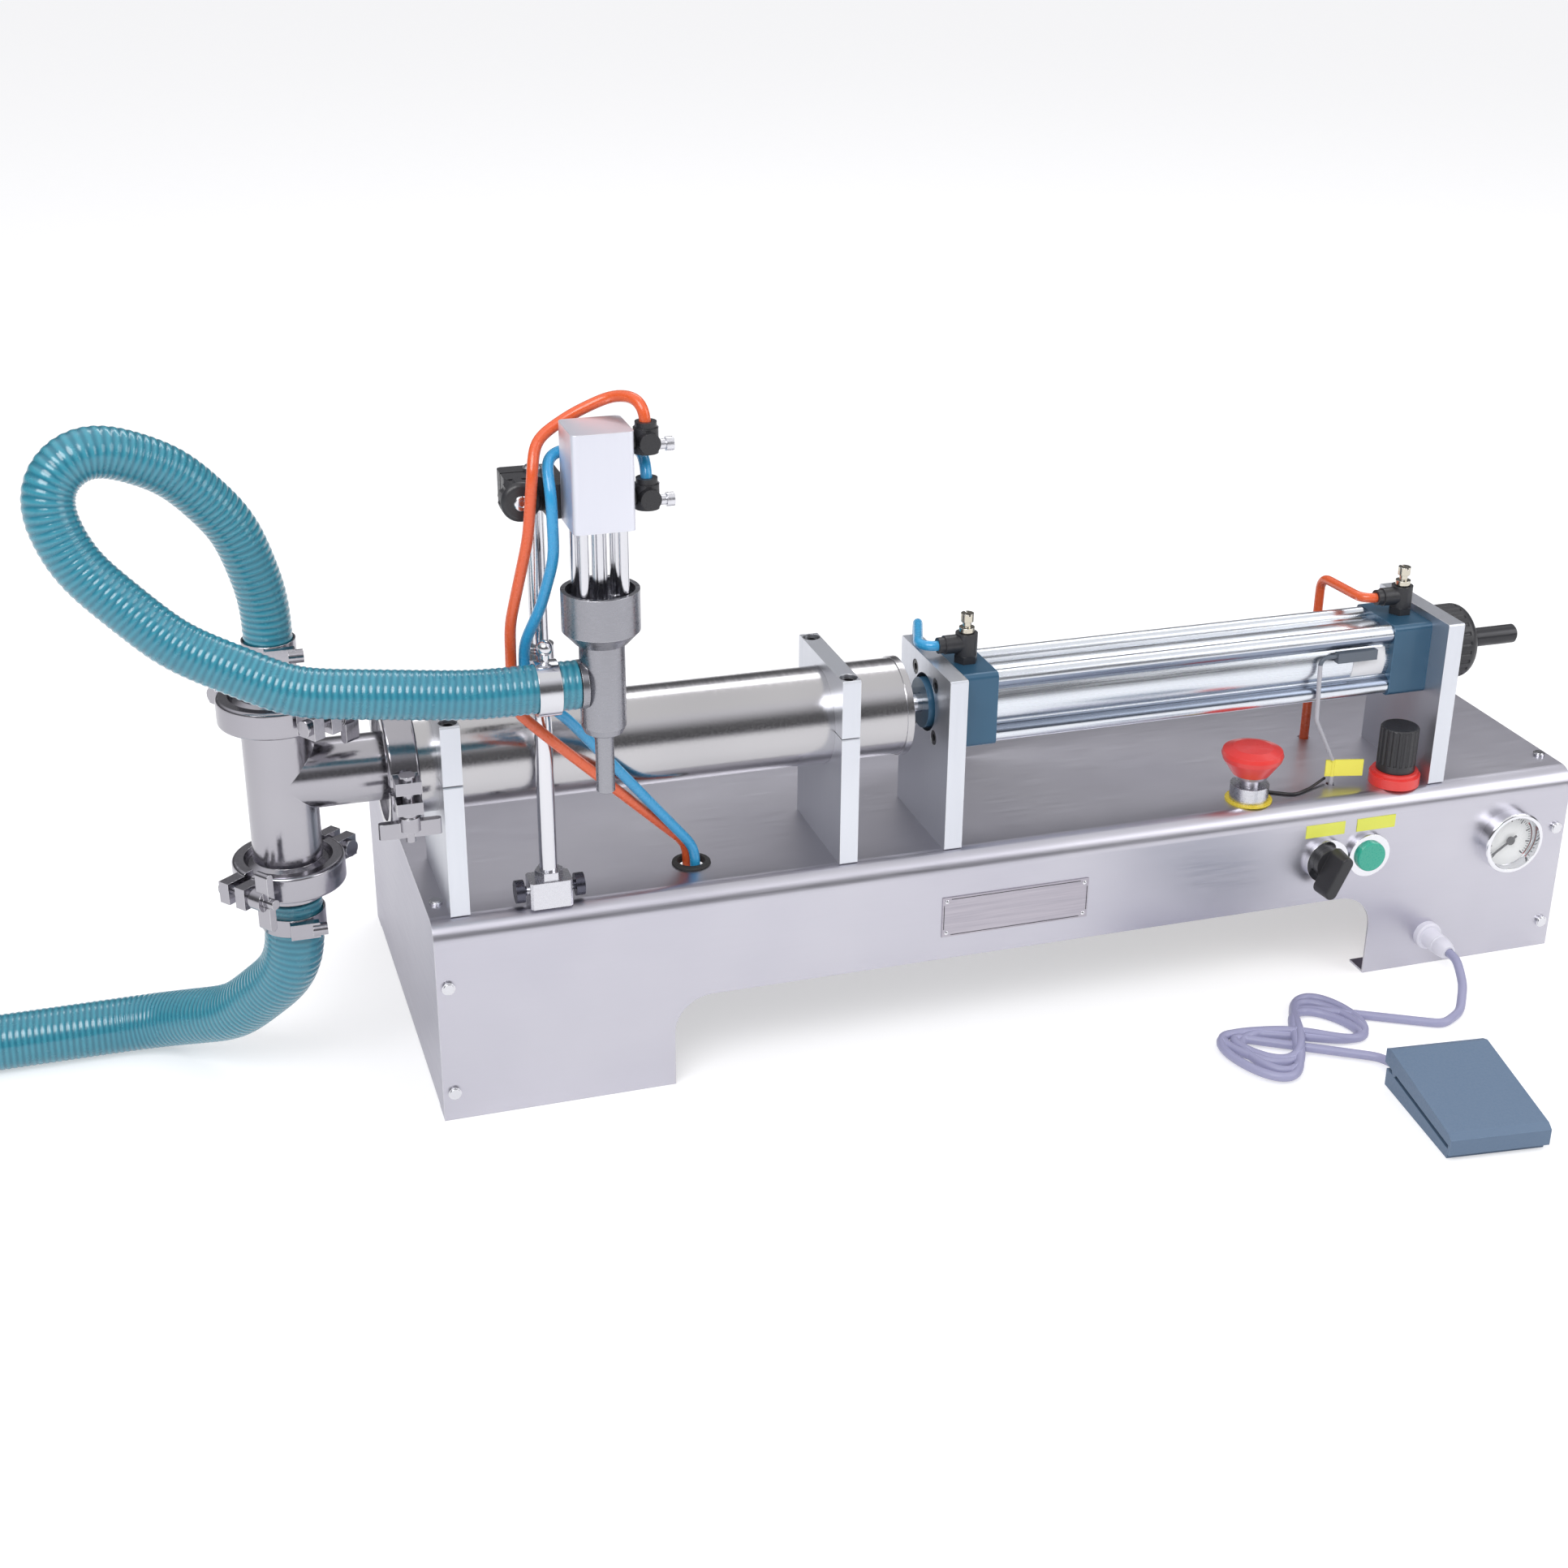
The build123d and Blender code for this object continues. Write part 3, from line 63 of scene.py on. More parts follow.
CASE_LOW, CASE_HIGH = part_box("base_cover")
CASE = Vector(((CASE_LOW.x + CASE_HIGH.x) / 2, (CASE_LOW.y + CASE_HIGH.y) / 2, 0.0))
CASE_TOP = CASE_HIGH.z
CASE_FRONT = CASE_LOW.y
TEE = middle("outlet_poppet")
HEAD = middle("valve_stem")
INLET_ABOVE_BODY = 29 * MM
INLET_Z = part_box("valve_body")[0].z + INLET_ABOVE_BODY
BARREL = middle("air_barrel")


def from_case(x, y, z):
    """A place in millimetres from the point on the table under the centre of the case."""
    return CASE + Vector((x, y, z)) * MM


def from_tee(x, y, z):
    """A place in millimetres across from the axis of the tee, and above the table."""
    return Vector((TEE.x + x * MM, TEE.y + y * MM, z * MM))


# ---- shader helpers -----------------------------------------------------------------

class Shader:
    """A Principled material with short calls for the nodes that the finishes below share."""

    def __init__(self, name, colour, metallic=0.0, roughness=0.5):
        self.material = bpy.data.materials.new(name)
        self.material.use_nodes = True
        self.tree = self.material.node_tree
        self.out = self.tree.nodes["Principled BSDF"]
        self.out.inputs["Metallic"].default_value = metallic
        self.out.inputs["Roughness"].default_value = roughness
        self.colour = self.constant(colour)
        self.height = None
        self.coords = self.add("ShaderNodeTexCoord").outputs["Object"]

    def add(self, kind, **settings):
        made = self.tree.nodes.new(kind)
        for key, value in settings.items():
            setattr(made, key, value)
        return made

    def feed(self, target, value):
        if isinstance(value, bpy.types.NodeSocket):
            self.tree.links.new(value, target)
        else:
            target.default_value = value

    def constant(self, colour):
        made = self.add("ShaderNodeRGB")
        made.outputs[0].default_value = (*colour, 1.0)
        return made.outputs[0]

    def noise(self, scale, stretch=(1, 1, 1), detail=3.0, rough=0.5):
        placed = self.add("ShaderNodeMapping")
        self.feed(placed.inputs["Vector"], self.coords)
        placed.inputs["Scale"].default_value = stretch
        made = self.add("ShaderNodeTexNoise")
        self.feed(made.inputs["Vector"], placed.outputs[0])
        made.inputs["Scale"].default_value = scale
        made.inputs["Detail"].default_value = detail
        made.inputs["Roughness"].default_value = rough
        return made.outputs["Fac"]

    def spread(self, value, low, high, start=0.3, end=0.7):
        made = self.add("ShaderNodeMapRange")
        self.feed(made.inputs["Value"], value)
        for key, number in (("From Min", start), ("From Max", end), ("To Min", low), ("To Max", high)):
            made.inputs[key].default_value = number
        return made.outputs["Result"]

    def mix(self, factor, first, second):
        made = self.add("ShaderNodeMix", data_type="RGBA")
        self.feed(made.inputs["Factor"], factor)
        self.feed(made.inputs[6], first)
        self.feed(made.inputs[7], second if isinstance(second, bpy.types.NodeSocket) else (*second, 1.0))
        return made.outputs[2]

    def maths(self, operation, first, second=0.0):
        made = self.add("ShaderNodeMath", operation=operation)
        self.feed(made.inputs[0], first)
        self.feed(made.inputs[1], second)
        return made.outputs[0]

    def beyond(self, axis, place):
        """1 where the coordinate along an axis is above a place in metres, else 0."""
        parts = self.add("ShaderNodeSeparateXYZ")
        self.feed(parts.inputs[0], self.coords)
        return self.maths("GREATER_THAN", parts.outputs["XYZ".index(axis)], place)

    def tint(self, factor, colour):
        self.colour = self.mix(factor, self.colour, colour)
        return self

    def roughen(self, value):
        self.feed(self.out.inputs["Roughness"], value)
        return self

    def relief(self, value, depth):
        """Adds a height in metres to what the bump sees."""
        scaled = self.maths("MULTIPLY", value, depth)
        self.height = scaled if self.height is None else self.maths("ADD", self.height, scaled)
        return self

    def finish(self, edge=0.0, wear=None):
        """Connects colour and bump. edge rounds edges, in metres, for the light; wear colours them."""
        normal = None
        if edge:
            rounded = self.add("ShaderNodeBevel", samples=4)
            rounded.inputs["Radius"].default_value = edge
            normal = rounded.outputs[0]
            if wear:
                plain = self.add("ShaderNodeNewGeometry").outputs["Normal"]
                turn = self.add("ShaderNodeVectorMath", operation="DOT_PRODUCT")
                self.feed(turn.inputs[0], plain)
                self.feed(turn.inputs[1], normal)
                worn = self.spread(turn.outputs["Value"], 0.7, 0.0, 0.9, 0.995)
                self.tint(worn, wear)
        if self.height is not None:
            bump = self.add("ShaderNodeBump")
            bump.inputs["Distance"].default_value = 1.0
            self.feed(bump.inputs["Height"], self.height)
            if normal is not None:
                self.feed(bump.inputs["Normal"], normal)
            normal = bump.outputs[0]
        if normal is not None:
            self.feed(self.out.inputs["Normal"], normal)
        self.feed(self.out.inputs["Base Color"], self.colour)
        return self.material


def smudged(shader, colour, amount=0.5):
    """Broad cloudy patches of a second colour, as handling leaves on a surface."""
    return shader.tint(shader.spread(shader.noise(9.0, detail=2.0), 0.0, amount), colour)


# ---- materials ----------------------------------------------------------------------

def brushed_steel(name, colour, shade, along, roughness=(0.3, 0.38), depth=2.5e-6):
    """Sheet steel with fine hairlines along one axis, soft clouding and brighter edges."""
    stretch = tuple(0.02 if axis == along else 1.0 for axis in "XYZ")
    shader = Shader(name, colour, metallic=1.0)
    lines = shader.noise(1400.0, stretch, detail=2.0)
    smudged(shader, shade, 0.6)
    shader.roughen(shader.spread(lines, *roughness))
    shader.relief(lines, depth)
    shader.out.inputs["Anisotropic"].default_value = 0.35
    return shader.finish(edge=0.6 * MM, wear=(0.92, 0.92, 0.95))


def polished_steel(name, colour, shade, along, roughness=(0.10, 0.2), depth=4e-6):
    """Polished steel: clear reflections with faint turning marks and clouding."""
    stretch = tuple(0.03 if axis == along else 1.0 for axis in "XYZ")
    shader = Shader(name, colour, metallic=1.0)
    marks = shader.noise(900.0, stretch, detail=2.0)
    smudged(shader, shade, 0.5)
    shader.roughen(shader.spread(marks, *roughness))
    shader.relief(marks, depth)
    return shader.finish(edge=0.4 * MM, wear=(0.95, 0.95, 0.97))


def aluminium(name, colour, shade, along, roughness=(0.28, 0.38)):
    """Satin anodised aluminium with fine lines along one axis."""
    stretch = tuple(0.015 if axis == along else 1.0 for axis in "XYZ")
    shader = Shader(name, colour, metallic=0.9)
    lines = shader.noise(1100.0, stretch, detail=2.0)
    smudged(shader, shade, 0.5)
    shader.roughen(shader.spread(lines, *roughness))
    shader.relief(lines, 3e-6)
    return shader.finish(edge=0.5 * MM, wear=(0.98, 0.98, 1.0))


def barrel_finish():
    """Clear anodised profile: bright faces, with painted shade along the grooves near its edges."""
    shader = Shader("barrel_aluminium", (0.74, 0.77, 0.82), metallic=1.0)
    lines = shader.noise(1100.0, (0.015, 1.0, 1.0), detail=2.0)
    smudged(shader, (0.62, 0.66, 0.72), 0.5)
    grooves = ((-15.5, -10.5), (10.0, 17.0))
    for low, high in grooves:
        over = shader.beyond("Z", BARREL.z + low * MM)
        past = shader.beyond("Z", BARREL.z + high * MM)
        # Painted shade: a dark grey-blue band is tinted over each groove, standing in for its shadow and
        # dark reflection.
        shader.tint(shader.maths("SUBTRACT", over, past), (0.26, 0.30, 0.38))
    shader.roughen(shader.spread(lines, 0.2, 0.32))
    shader.relief(lines, 3e-6)
    return shader.finish(edge=0.5 * MM)


def painted(name, colour, shade, roughness=(0.28, 0.42), metallic=0.0):
    """Enamel or oxide coat with a faint orange peel and paler edges."""
    shader = Shader(name, colour, metallic=metallic)
    smudged(shader, shade, 0.5)
    peel = shader.noise(420.0, detail=1.0)
    shader.roughen(shader.spread(shader.noise(60.0), *roughness))
    shader.relief(peel, 2e-5)
    shader.out.inputs["Coat Weight"].default_value = 0.25
    pale = tuple(min(1.0, 1.8 * part + 0.05) for part in colour)
    return shader.finish(edge=0.6 * MM, wear=pale)


def moulded(name, colour, shade, roughness=(0.32, 0.5), grain=900.0, depth=2.5e-5, coat=0.0):
    """Moulded plastic with a fine grain."""
    shader = Shader(name, colour)
    smudged(shader, shade, 0.6)
    specks = shader.noise(grain, detail=2.0)
    shader.roughen(shader.spread(specks, *roughness))
    shader.relief(specks, depth)
    shader.out.inputs["Coat Weight"].default_value = coat
    pale = tuple(min(1.0, 1.5 * part + 0.03) for part in colour)
    return shader.finish(edge=0.4 * MM, wear=pale)


def hose_skin():
    """Half clear tinted hose: raised helix tinted paler as a painted highlight, darker base colour left in
    the grooves as painted shade, slightly cloudy.
    """
    shader = Shader("hose_skin", (0.022, 0.19, 0.27))
    rib = shader.add("ShaderNodeAttribute", attribute_name="rib").outputs["Fac"]
    # Painted light: the rib height pales the helix crests as a painted highlight and leaves the grooves
    # darker as painted shade.
    shader.tint(shader.spread(rib, 0.0, 1.0, 0.2, 0.95), (0.06, 0.34, 0.44))
    smudged(shader, (0.03, 0.22, 0.33), 0.45)
    shader.roughen(shader.spread(shader.noise(160.0), 0.16, 0.3))
    shader.relief(shader.noise(500.0), 1.5e-5)
    shader.out.inputs["Transmission Weight"].default_value = 0.12
    shader.out.inputs["Subsurface Weight"].default_value = 0.25
    shader.out.inputs["Subsurface Radius"].default_value = (0.001, 0.004, 0.005)
    shader.out.inputs["Coat Weight"].default_value = 0.5
    shader.out.inputs["Coat Roughness"].default_value = 0.12
    return shader.finish()


def air_tube_skin(name, colour, shade):
    """Smooth glossy nylon with slight clouding, as on an air tube."""
    shader = Shader(name, colour)
    smudged(shader, shade, 0.5)
    shader.roughen(shader.spread(shader.noise(200.0), 0.2, 0.34))
    shader.relief(shader.noise(300.0), 1e-5)
    shader.out.inputs["Subsurface Weight"].default_value = 0.2
    shader.out.inputs["Subsurface Radius"].default_value = (0.002, 0.002, 0.002)
    shader.out.inputs["Coat Weight"].default_value = 0.35
    return shader.finish()


def estop_body_finish():
    """Bright collar standing on a yellow disc."""
    shader = Shader("estop_collar", (0.72, 0.56, 0.03), roughness=0.35)
    disc_top = CASE_TOP + 1.3 * MM
    above = shader.beyond("Z", disc_top)
    shader.feed(shader.out.inputs["Metallic"], above)
    shader.tint(above, (0.62, 0.62, 0.66))
    smudged(shader, (0.3, 0.3, 0.3), 0.2)
    shader.roughen(shader.spread(shader.noise(700.0), 0.2, 0.36))
    shader.relief(shader.noise(900.0), 1.5e-5)
    return shader.finish(edge=0.4 * MM)


def estop_button_finish():
    """Red mushroom on a bright metal neck."""
    shader = Shader("estop_button_red", (0.55, 0.55, 0.6), roughness=0.3)
    neck_top = CASE_TOP + 18.3 * MM
    above = shader.beyond("Z", neck_top)
    shader.feed(shader.out.inputs["Metallic"], shader.maths("SUBTRACT", 1.0, above))
    shader.tint(above, (0.74, 0.045, 0.04))
    smudged(shader, (0.62, 0.03, 0.03), 0.25)
    shader.roughen(shader.spread(shader.noise(600.0), 0.28, 0.4))
    shader.relief(shader.noise(900.0), 1e-5)
    shader.out.inputs["Coat Weight"].default_value = 0.3
    return shader.finish(edge=0.5 * MM)


def head_controls_finish():
    """Black flow controls with bright screws on their right."""
    shader = Shader("head_controls", (0.022, 0.022, 0.025))
    screws_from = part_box("head_air_block")[1].x + 15.2 * MM
    right = shader.beyond("X", screws_from)
    shader.feed(shader.out.inputs["Metallic"], right)
    shader.tint(right, (0.72, 0.72, 0.76))
    shader.roughen(shader.spread(shader.noise(900.0), 0.25, 0.4))
    shader.relief(shader.noise(900.0), 1.5e-5)
    return shader.finish(edge=0.4 * MM)


def rod_foot_finish():
    """Bright clamp block with a dark thumb screw at each side."""
    shader = Shader("rod_foot", (0.66, 0.66, 0.70), metallic=1.0)
    low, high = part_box("rod_foot")
    screw = 6.5 * MM
    left = shader.maths("SUBTRACT", 1.0, shader.beyond("X", low.x + screw))
    right = shader.beyond("X", high.x - screw)
    shader.tint(shader.maths("ADD", left, right), (0.10, 0.10, 0.13))
    shader.roughen(shader.spread(shader.noise(700.0), 0.2, 0.34))
    shader.relief(shader.noise(1100.0), 4e-6)
    return shader.finish(edge=0.4 * MM)


def sensor_finish():
    """Dark switch body, grey wire and a yellow cable tag."""
    shader = Shader("sensor_and_tag", (0.42, 0.42, 0.46), roughness=0.4)
    tag_low, tag_high, switch_low = 130.4 * MM, 141.7 * MM, 207.6 * MM
    tag = shader.maths("SUBTRACT", shader.beyond("Z", tag_low), shader.beyond("Z", tag_high))
    shader.tint(tag, (0.85, 0.78, 0.10))
    shader.tint(shader.beyond("Z", switch_low), (0.10, 0.12, 0.15))
    shader.roughen(shader.spread(shader.noise(500.0), 0.3, 0.5))
    shader.relief(shader.noise(700.0), 2e-5)
    return shader.finish(edge=0.3 * MM)


def label_finish():
    """Brushed metal plate on the left, two coloured legend plates on the right."""
    shader = Shader("plates", (0.50, 0.47, 0.52), roughness=0.4)
    legends_from = from_case(120, 0, 0).x
    right = shader.beyond("X", legends_from)
    shader.feed(shader.out.inputs["Metallic"], shader.spread(right, 0.75, 0.0, 0.0, 1.0))
    lines = shader.noise(1300.0, (0.02, 1.0, 1.0), detail=2.0)
    shader.tint(shader.spread(lines, 0.0, 0.5), (0.38, 0.36, 0.42))
    shader.tint(right, (0.72, 0.74, 0.10))
    shader.roughen(shader.spread(lines, 0.3, 0.5))
    shader.relief(lines, 1e-5)
    return shader.finish(edge=0.2 * MM)


def clear_lens():
    """Thin clear gauge glass: mostly see-through, with a faint gloss."""
    shader = Shader("clear_lens", (0.97, 0.98, 1.0), roughness=0.05)
    shader.roughen(shader.spread(shader.noise(40.0), 0.03, 0.08))
    material = shader.finish()
    clear = shader.add("ShaderNodeBsdfTransparent")
    blend = shader.add("ShaderNodeMixShader")
    blend.inputs[0].default_value = 0.07
    shader.feed(blend.inputs[1], clear.outputs[0])
    shader.feed(blend.inputs[2], shader.out.outputs[0])
    shader.feed(shader.tree.nodes["Material Output"].inputs["Surface"], blend.outputs[0])
    return material


CASE_STEEL = brushed_steel("case_steel", (0.60, 0.59, 0.645), (0.50, 0.49, 0.56), "X")
END_STEEL = brushed_steel("end_steel", (0.46, 0.45, 0.51), (0.38, 0.37, 0.44), "Y")
TUBE_STEEL = polished_steel("tube_steel", (0.54, 0.53, 0.54), (0.44, 0.43, 0.45), "Y", (0.14, 0.24))
TEE_STEEL = polished_steel("tee_steel", (0.44, 0.43, 0.46), (0.32, 0.31, 0.35), None, (0.14, 0.24), 2e-6)
BRIGHT_STEEL = polished_steel("bright_steel", (0.74, 0.74, 0.77), (0.6, 0.6, 0.64), None)
TURNED_STEEL = polished_steel(
    "turned_steel", (0.36, 0.36, 0.39), (0.28, 0.28, 0.31), "X", (0.24, 0.34), 2.5e-6
)
PLATE_ALUMINIUM = aluminium("plate_aluminium", (0.72, 0.74, 0.79), (0.58, 0.6, 0.66), "Z")
BARREL_ALUMINIUM = barrel_finish()
BLOCK_ALUMINIUM = aluminium("block_aluminium", (0.84, 0.85, 0.92), (0.74, 0.75, 0.84), "Z", (0.36, 0.46))
NICKEL = polished_steel("nickel", (0.66, 0.62, 0.52), (0.5, 0.46, 0.38), None)
CHROME = polished_steel("chrome", (0.82, 0.82, 0.85), (0.7, 0.7, 0.74), None, (0.06, 0.14))
CAP_BLUE = painted("cap_blue", (0.030, 0.105, 0.185), (0.02, 0.07, 0.13), (0.3, 0.45), 0.2)
BLACK_OXIDE = painted("black_oxide", (0.035, 0.035, 0.04), (0.02, 0.02, 0.022), (0.3, 0.5), 0.6)
RUBBER = moulded("rubber", (0.03, 0.03, 0.03), (0.02, 0.02, 0.02), (0.6, 0.8))
BLACK_PLASTIC = moulded("black_plastic", (0.022, 0.022, 0.025), (0.035, 0.035, 0.04), (0.3, 0.45))
RED_PLASTIC = moulded("red_plastic", (0.72, 0.035, 0.03), (0.8, 0.07, 0.06), (0.28, 0.4), coat=0.3)
GREEN_PLASTIC = moulded("green_plastic", (0.02, 0.36, 0.25), (0.03, 0.42, 0.3), (0.25, 0.35), coat=0.4)
PEDAL_PLASTIC = moulded(
    "pedal_plastic", (0.115, 0.175, 0.265), (0.095, 0.15, 0.235), (0.42, 0.6), 700.0, 5e-5
)
ORANGE_TUBE = air_tube_skin("orange_tube", (0.78, 0.13, 0.035), (0.7, 0.1, 0.03))
BLUE_TUBE = air_tube_skin("blue_tube", (0.04, 0.36, 0.66), (0.03, 0.3, 0.6))
HOSE = hose_skin()
CABLE = moulded("cable_skin", (0.34, 0.34, 0.50), (0.27, 0.27, 0.42), (0.32, 0.46))
PLUG = moulded("plug_skin", (0.74, 0.73, 0.80), (0.66, 0.65, 0.74), (0.32, 0.46))
WHITE_FILM = moulded("white_film", (0.82, 0.82, 0.84), (0.75, 0.75, 0.78), (0.3, 0.4))
DIAL_WHITE = moulded("dial_white", (0.86, 0.87, 0.86), (0.82, 0.83, 0.82), (0.5, 0.6))
INK = moulded("ink", (0.03, 0.03, 0.035), (0.04, 0.04, 0.045), (0.5, 0.6))
RED_INK = moulded("red_ink", (0.6, 0.03, 0.03), (0.55, 0.03, 0.03), (0.5, 0.6))
ESTOP_BUTTON = estop_button_finish()
ROD_FOOT = rod_foot_finish()
HEAD_CONTROLS = head_controls_finish()
ESTOP_BODY = estop_body_finish()
SENSOR = sensor_finish()
LABELS = label_finish()
LENS = clear_lens()

FINISHES = {
    CASE_STEEL: ["base_cover"],
    END_STEEL: ["end_plates"],
    TUBE_STEEL: ["metering_tube"],
    TEE_STEEL: ["tee_body", "clamp_halves", "hose_adaptors", "hose_clamps", "wing_bolts"],
    TURNED_STEEL: ["valve_cup", "valve_body", "nozzle_tip"],
    BRIGHT_STEEL: [
        "case_screws", "stand_rod", "valve_stem", "piston_rod", "metering_piston",
        "inlet_poppet", "outlet_poppet", "hose_clip", "head_posts",
    ],
    PLATE_ALUMINIUM: [
        "tube_supports_lower", "tube_supports_upper", "front_cylinder_plate", "rear_cylinder_plate",
    ],
    BARREL_ALUMINIUM: ["air_barrel", "air_piston"],
    BLOCK_ALUMINIUM: ["head_air_block"],
    NICKEL: ["front_needle", "rear_needle"],
    CHROME: ["switch_bodies", "gauge_case"],
    CAP_BLUE: ["cylinder_caps"],
    BLACK_OXIDE: ["socket_screws", "adjuster_screw", "gauge_needle"],
    RUBBER: ["piston_seals", "clamp_gaskets"],
    BLACK_PLASTIC: [
        "adjuster_knob", "head_clamp_knob", "head_bracket", "flow_controls", "selector_knob",
        "regulator_knob", "solenoid_valve",
    ],
    RED_PLASTIC: ["regulator_body"],
    ESTOP_BUTTON: ["estop_button"],
    ROD_FOOT: ["rod_foot"],
    HEAD_CONTROLS: ["head_flow_controls"],
    GREEN_PLASTIC: ["start_cap"],
    PEDAL_PLASTIC: ["pedal_base", "pedal_plate"],
    ESTOP_BODY: ["estop_body"],
    SENSOR: ["reed_switch"],
    LABELS: ["panel_labels"],
    LENS: ["gauge_lens"],
}


def dress_nodes():
    """Gives every CAD node that stays visible its finish."""
    for material, names in FINISHES.items():
        for name in names:
            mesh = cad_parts[name].data
            mesh.materials.clear()
            mesh.materials.append(material)


# ---- mesh helpers -------------------------------------------------------------------

SHARP_ANGLE = math.radians(35)
ARC_STEP = 0.12                 # radians between the points of a bend


def mesh_piece(name, points, faces, material, smooth=True):
    """A visible piece from its points and faces, which takes its finish from a slot."""
    mesh = bpy.data.meshes.new(name)
    mesh.from_pydata([tuple(p) for p in points], [], faces)
    mesh.validate()
    mesh.update()
    mesh.materials.append(material)
    for polygon in mesh.polygons:
        polygon.use_smooth = smooth
    piece = bpy.data.objects.new(name, mesh)
    bpy.context.scene.collection.objects.link(piece)
    return piece


def lathe(name, profile, centre, axis, material, sides=48):
    """A turned piece: its profile points are (radius, height along the axis) in millimetres."""
    turn = Vector(axis).to_track_quat("Z", "Y").to_matrix()
    points, faces = [], []
    for i in range(sides):
        angle = 2 * math.pi * i / sides
        for radius, height in profile:
            local = Vector((radius * math.cos(angle), radius * math.sin(angle), height)) * MM
            points.append(centre + turn @ local)
    count = len(profile)
    for i in range(sides):
        here, after = i * count, (i + 1) % sides * count
        for k in range(count - 1):
            faces.append((here + k, after + k, after + k + 1, here + k + 1))
    piece = mesh_piece(name, points, faces, material)
    piece.data.set_sharp_from_angle(angle=SHARP_ANGLE)
    return piece


def rounded_path(corners, bend, step):
    """Evenly spaced points along straight runs joined by arcs of one radius."""
    raw = [corners[0]]
    for before, corner, after in zip(corners, corners[1:], corners[2:]):
        back, ahead = (before - corner).normalized(), (after - corner).normalized()
        half = back.angle(ahead) / 2
        reach = bend / math.tan(half)
        centre = corner + (back + ahead).normalized() * (bend / math.sin(half))
        first = (corner + back * reach - centre).normalized()
        last = (corner + ahead * reach - centre).normalized()
        pieces = max(2, math.ceil((math.pi - 2 * half) / ARC_STEP))
        for i in range(pieces + 1):
            raw.append(centre + first.slerp(last, i / pieces) * bend)
    raw.append(corners[-1])
    return spaced(raw, step)


def spaced(raw, step):
    """The same line with evenly spaced points."""
    total = sum((b - a).length for a, b in zip(raw, raw[1:]))
    count = max(2, round(total / step))
    gap = total / count
    points, passed, due = [raw[0].copy()], 0.0, gap
    for a, b in zip(raw, raw[1:]):
        run = (b - a).length
        while run > 0 and passed + run >= due - 1e-9 and len(points) < count:
            points.append(a.lerp(b, (due - passed) / run))
            due += gap
        passed += run
    points.append(raw[-1].copy())
    return points


def relaxed(points, passes):
    """The same line with its bends eased into each other, as a flexible tube lies."""
    for _ in range(passes):
        eased = [a / 4 + b / 2 + c / 4 for a, b, c in zip(points, points[1:], points[2:])]
        points = points[:1] + eased + points[-1:]
    return points


def frames_along(points):
    """A side vector and a second one across the line at each point, without twist."""
    side, made = None, []
    for i in range(len(points)):
        ahead = (points[min(i + 1, len(points) - 1)] - points[max(i - 1, 0)]).normalized()
        if side is None:
            side = ahead.orthogonal().normalized()
        side = (side - ahead * side.dot(ahead)).normalized()
        made.append((side, ahead.cross(side)))
    return made


def tube_piece(name, points, radius, material, sides, bore=0.0, rib=None):
    """A tube along a line. rib is (pitch, depth, sharpness) of a raised helix on its outside."""
    rings, faces, heights = [], [], []
    frames = frames_along(points)
    for wall in (radius, bore) if bore else (radius,):
        ribbed = rib and wall == radius
        run = 0.0
        for i, (point, (side, over)) in enumerate(zip(points, frames)):
            run += (point - points[i - 1]).length if i else 0.0
            for k in range(sides):
                angle = 2 * math.pi * k / sides
                height, reach = 0.0, wall
                if ribbed:
                    pitch, depth, sharpness = rib
                    wave = 0.5 + 0.5 * math.cos(2 * math.pi * run / pitch + angle)
                    height = wave ** sharpness
                    reach = wall - depth * (1 - height)
                rings.append(point + (side * math.cos(angle) + over * math.sin(angle)) * reach)
                heights.append(height)
    count = len(points)

    def quads(start, flip):
        for i in range(count - 1):
            for k in range(sides):
                a, b = start + i * sides + k, start + i * sides + (k + 1) % sides
                quad = (a, b, b + sides, a + sides)
                faces.append(quad[::-1] if flip else quad)

    quads(0, False)
    last = (count - 1) * sides
    if bore:
        inside = count * sides
        quads(inside, True)
        for k in range(sides):
            after = (k + 1) % sides
            faces.append((k, inside + k, inside + after, after))
            faces.append((last + k, last + after, inside + last + after, inside + last + k))
    else:
        faces.append(tuple(range(sides))[::-1])
        faces.append(tuple(last + k for k in range(sides)))
    piece = mesh_piece(name, rings, faces, material)
    if rib:
        # The rib attribute holds the helix height, which hose_skin turns into painted highlight on the
        # crests and painted shade in the grooves.
        attribute = piece.data.attributes.new("rib", "FLOAT", "POINT")
        attribute.data.foreach_set("value", heights)
    return piece


# ---- hoses and tubes ----------------------------------------------------------------

PATH_STEP = 2 * MM               # between the points of a line before it is eased
HOSE_STEP = 0.6 * MM
HOSE_RIB = (3.6 * MM, 0.4 * MM, 0.7)    # pitch, depth and sharpness of the helix
HOSE_SIDES = 40
DELIVERY_R, DELIVERY_BORE_R = 13 * MM, 10 * MM
SUCTION_R, SUCTION_BORE_R = 16.5 * MM, 12.5 * MM
ADAPTOR_FACE = 13.5 * MM         # from the axis of the filling head to the end of its hose
AIR_TUBE_R = 3.0 * MM
AIR_TUBE_STEP = 1.5 * MM
AIR_TUBE_SIDES = 16


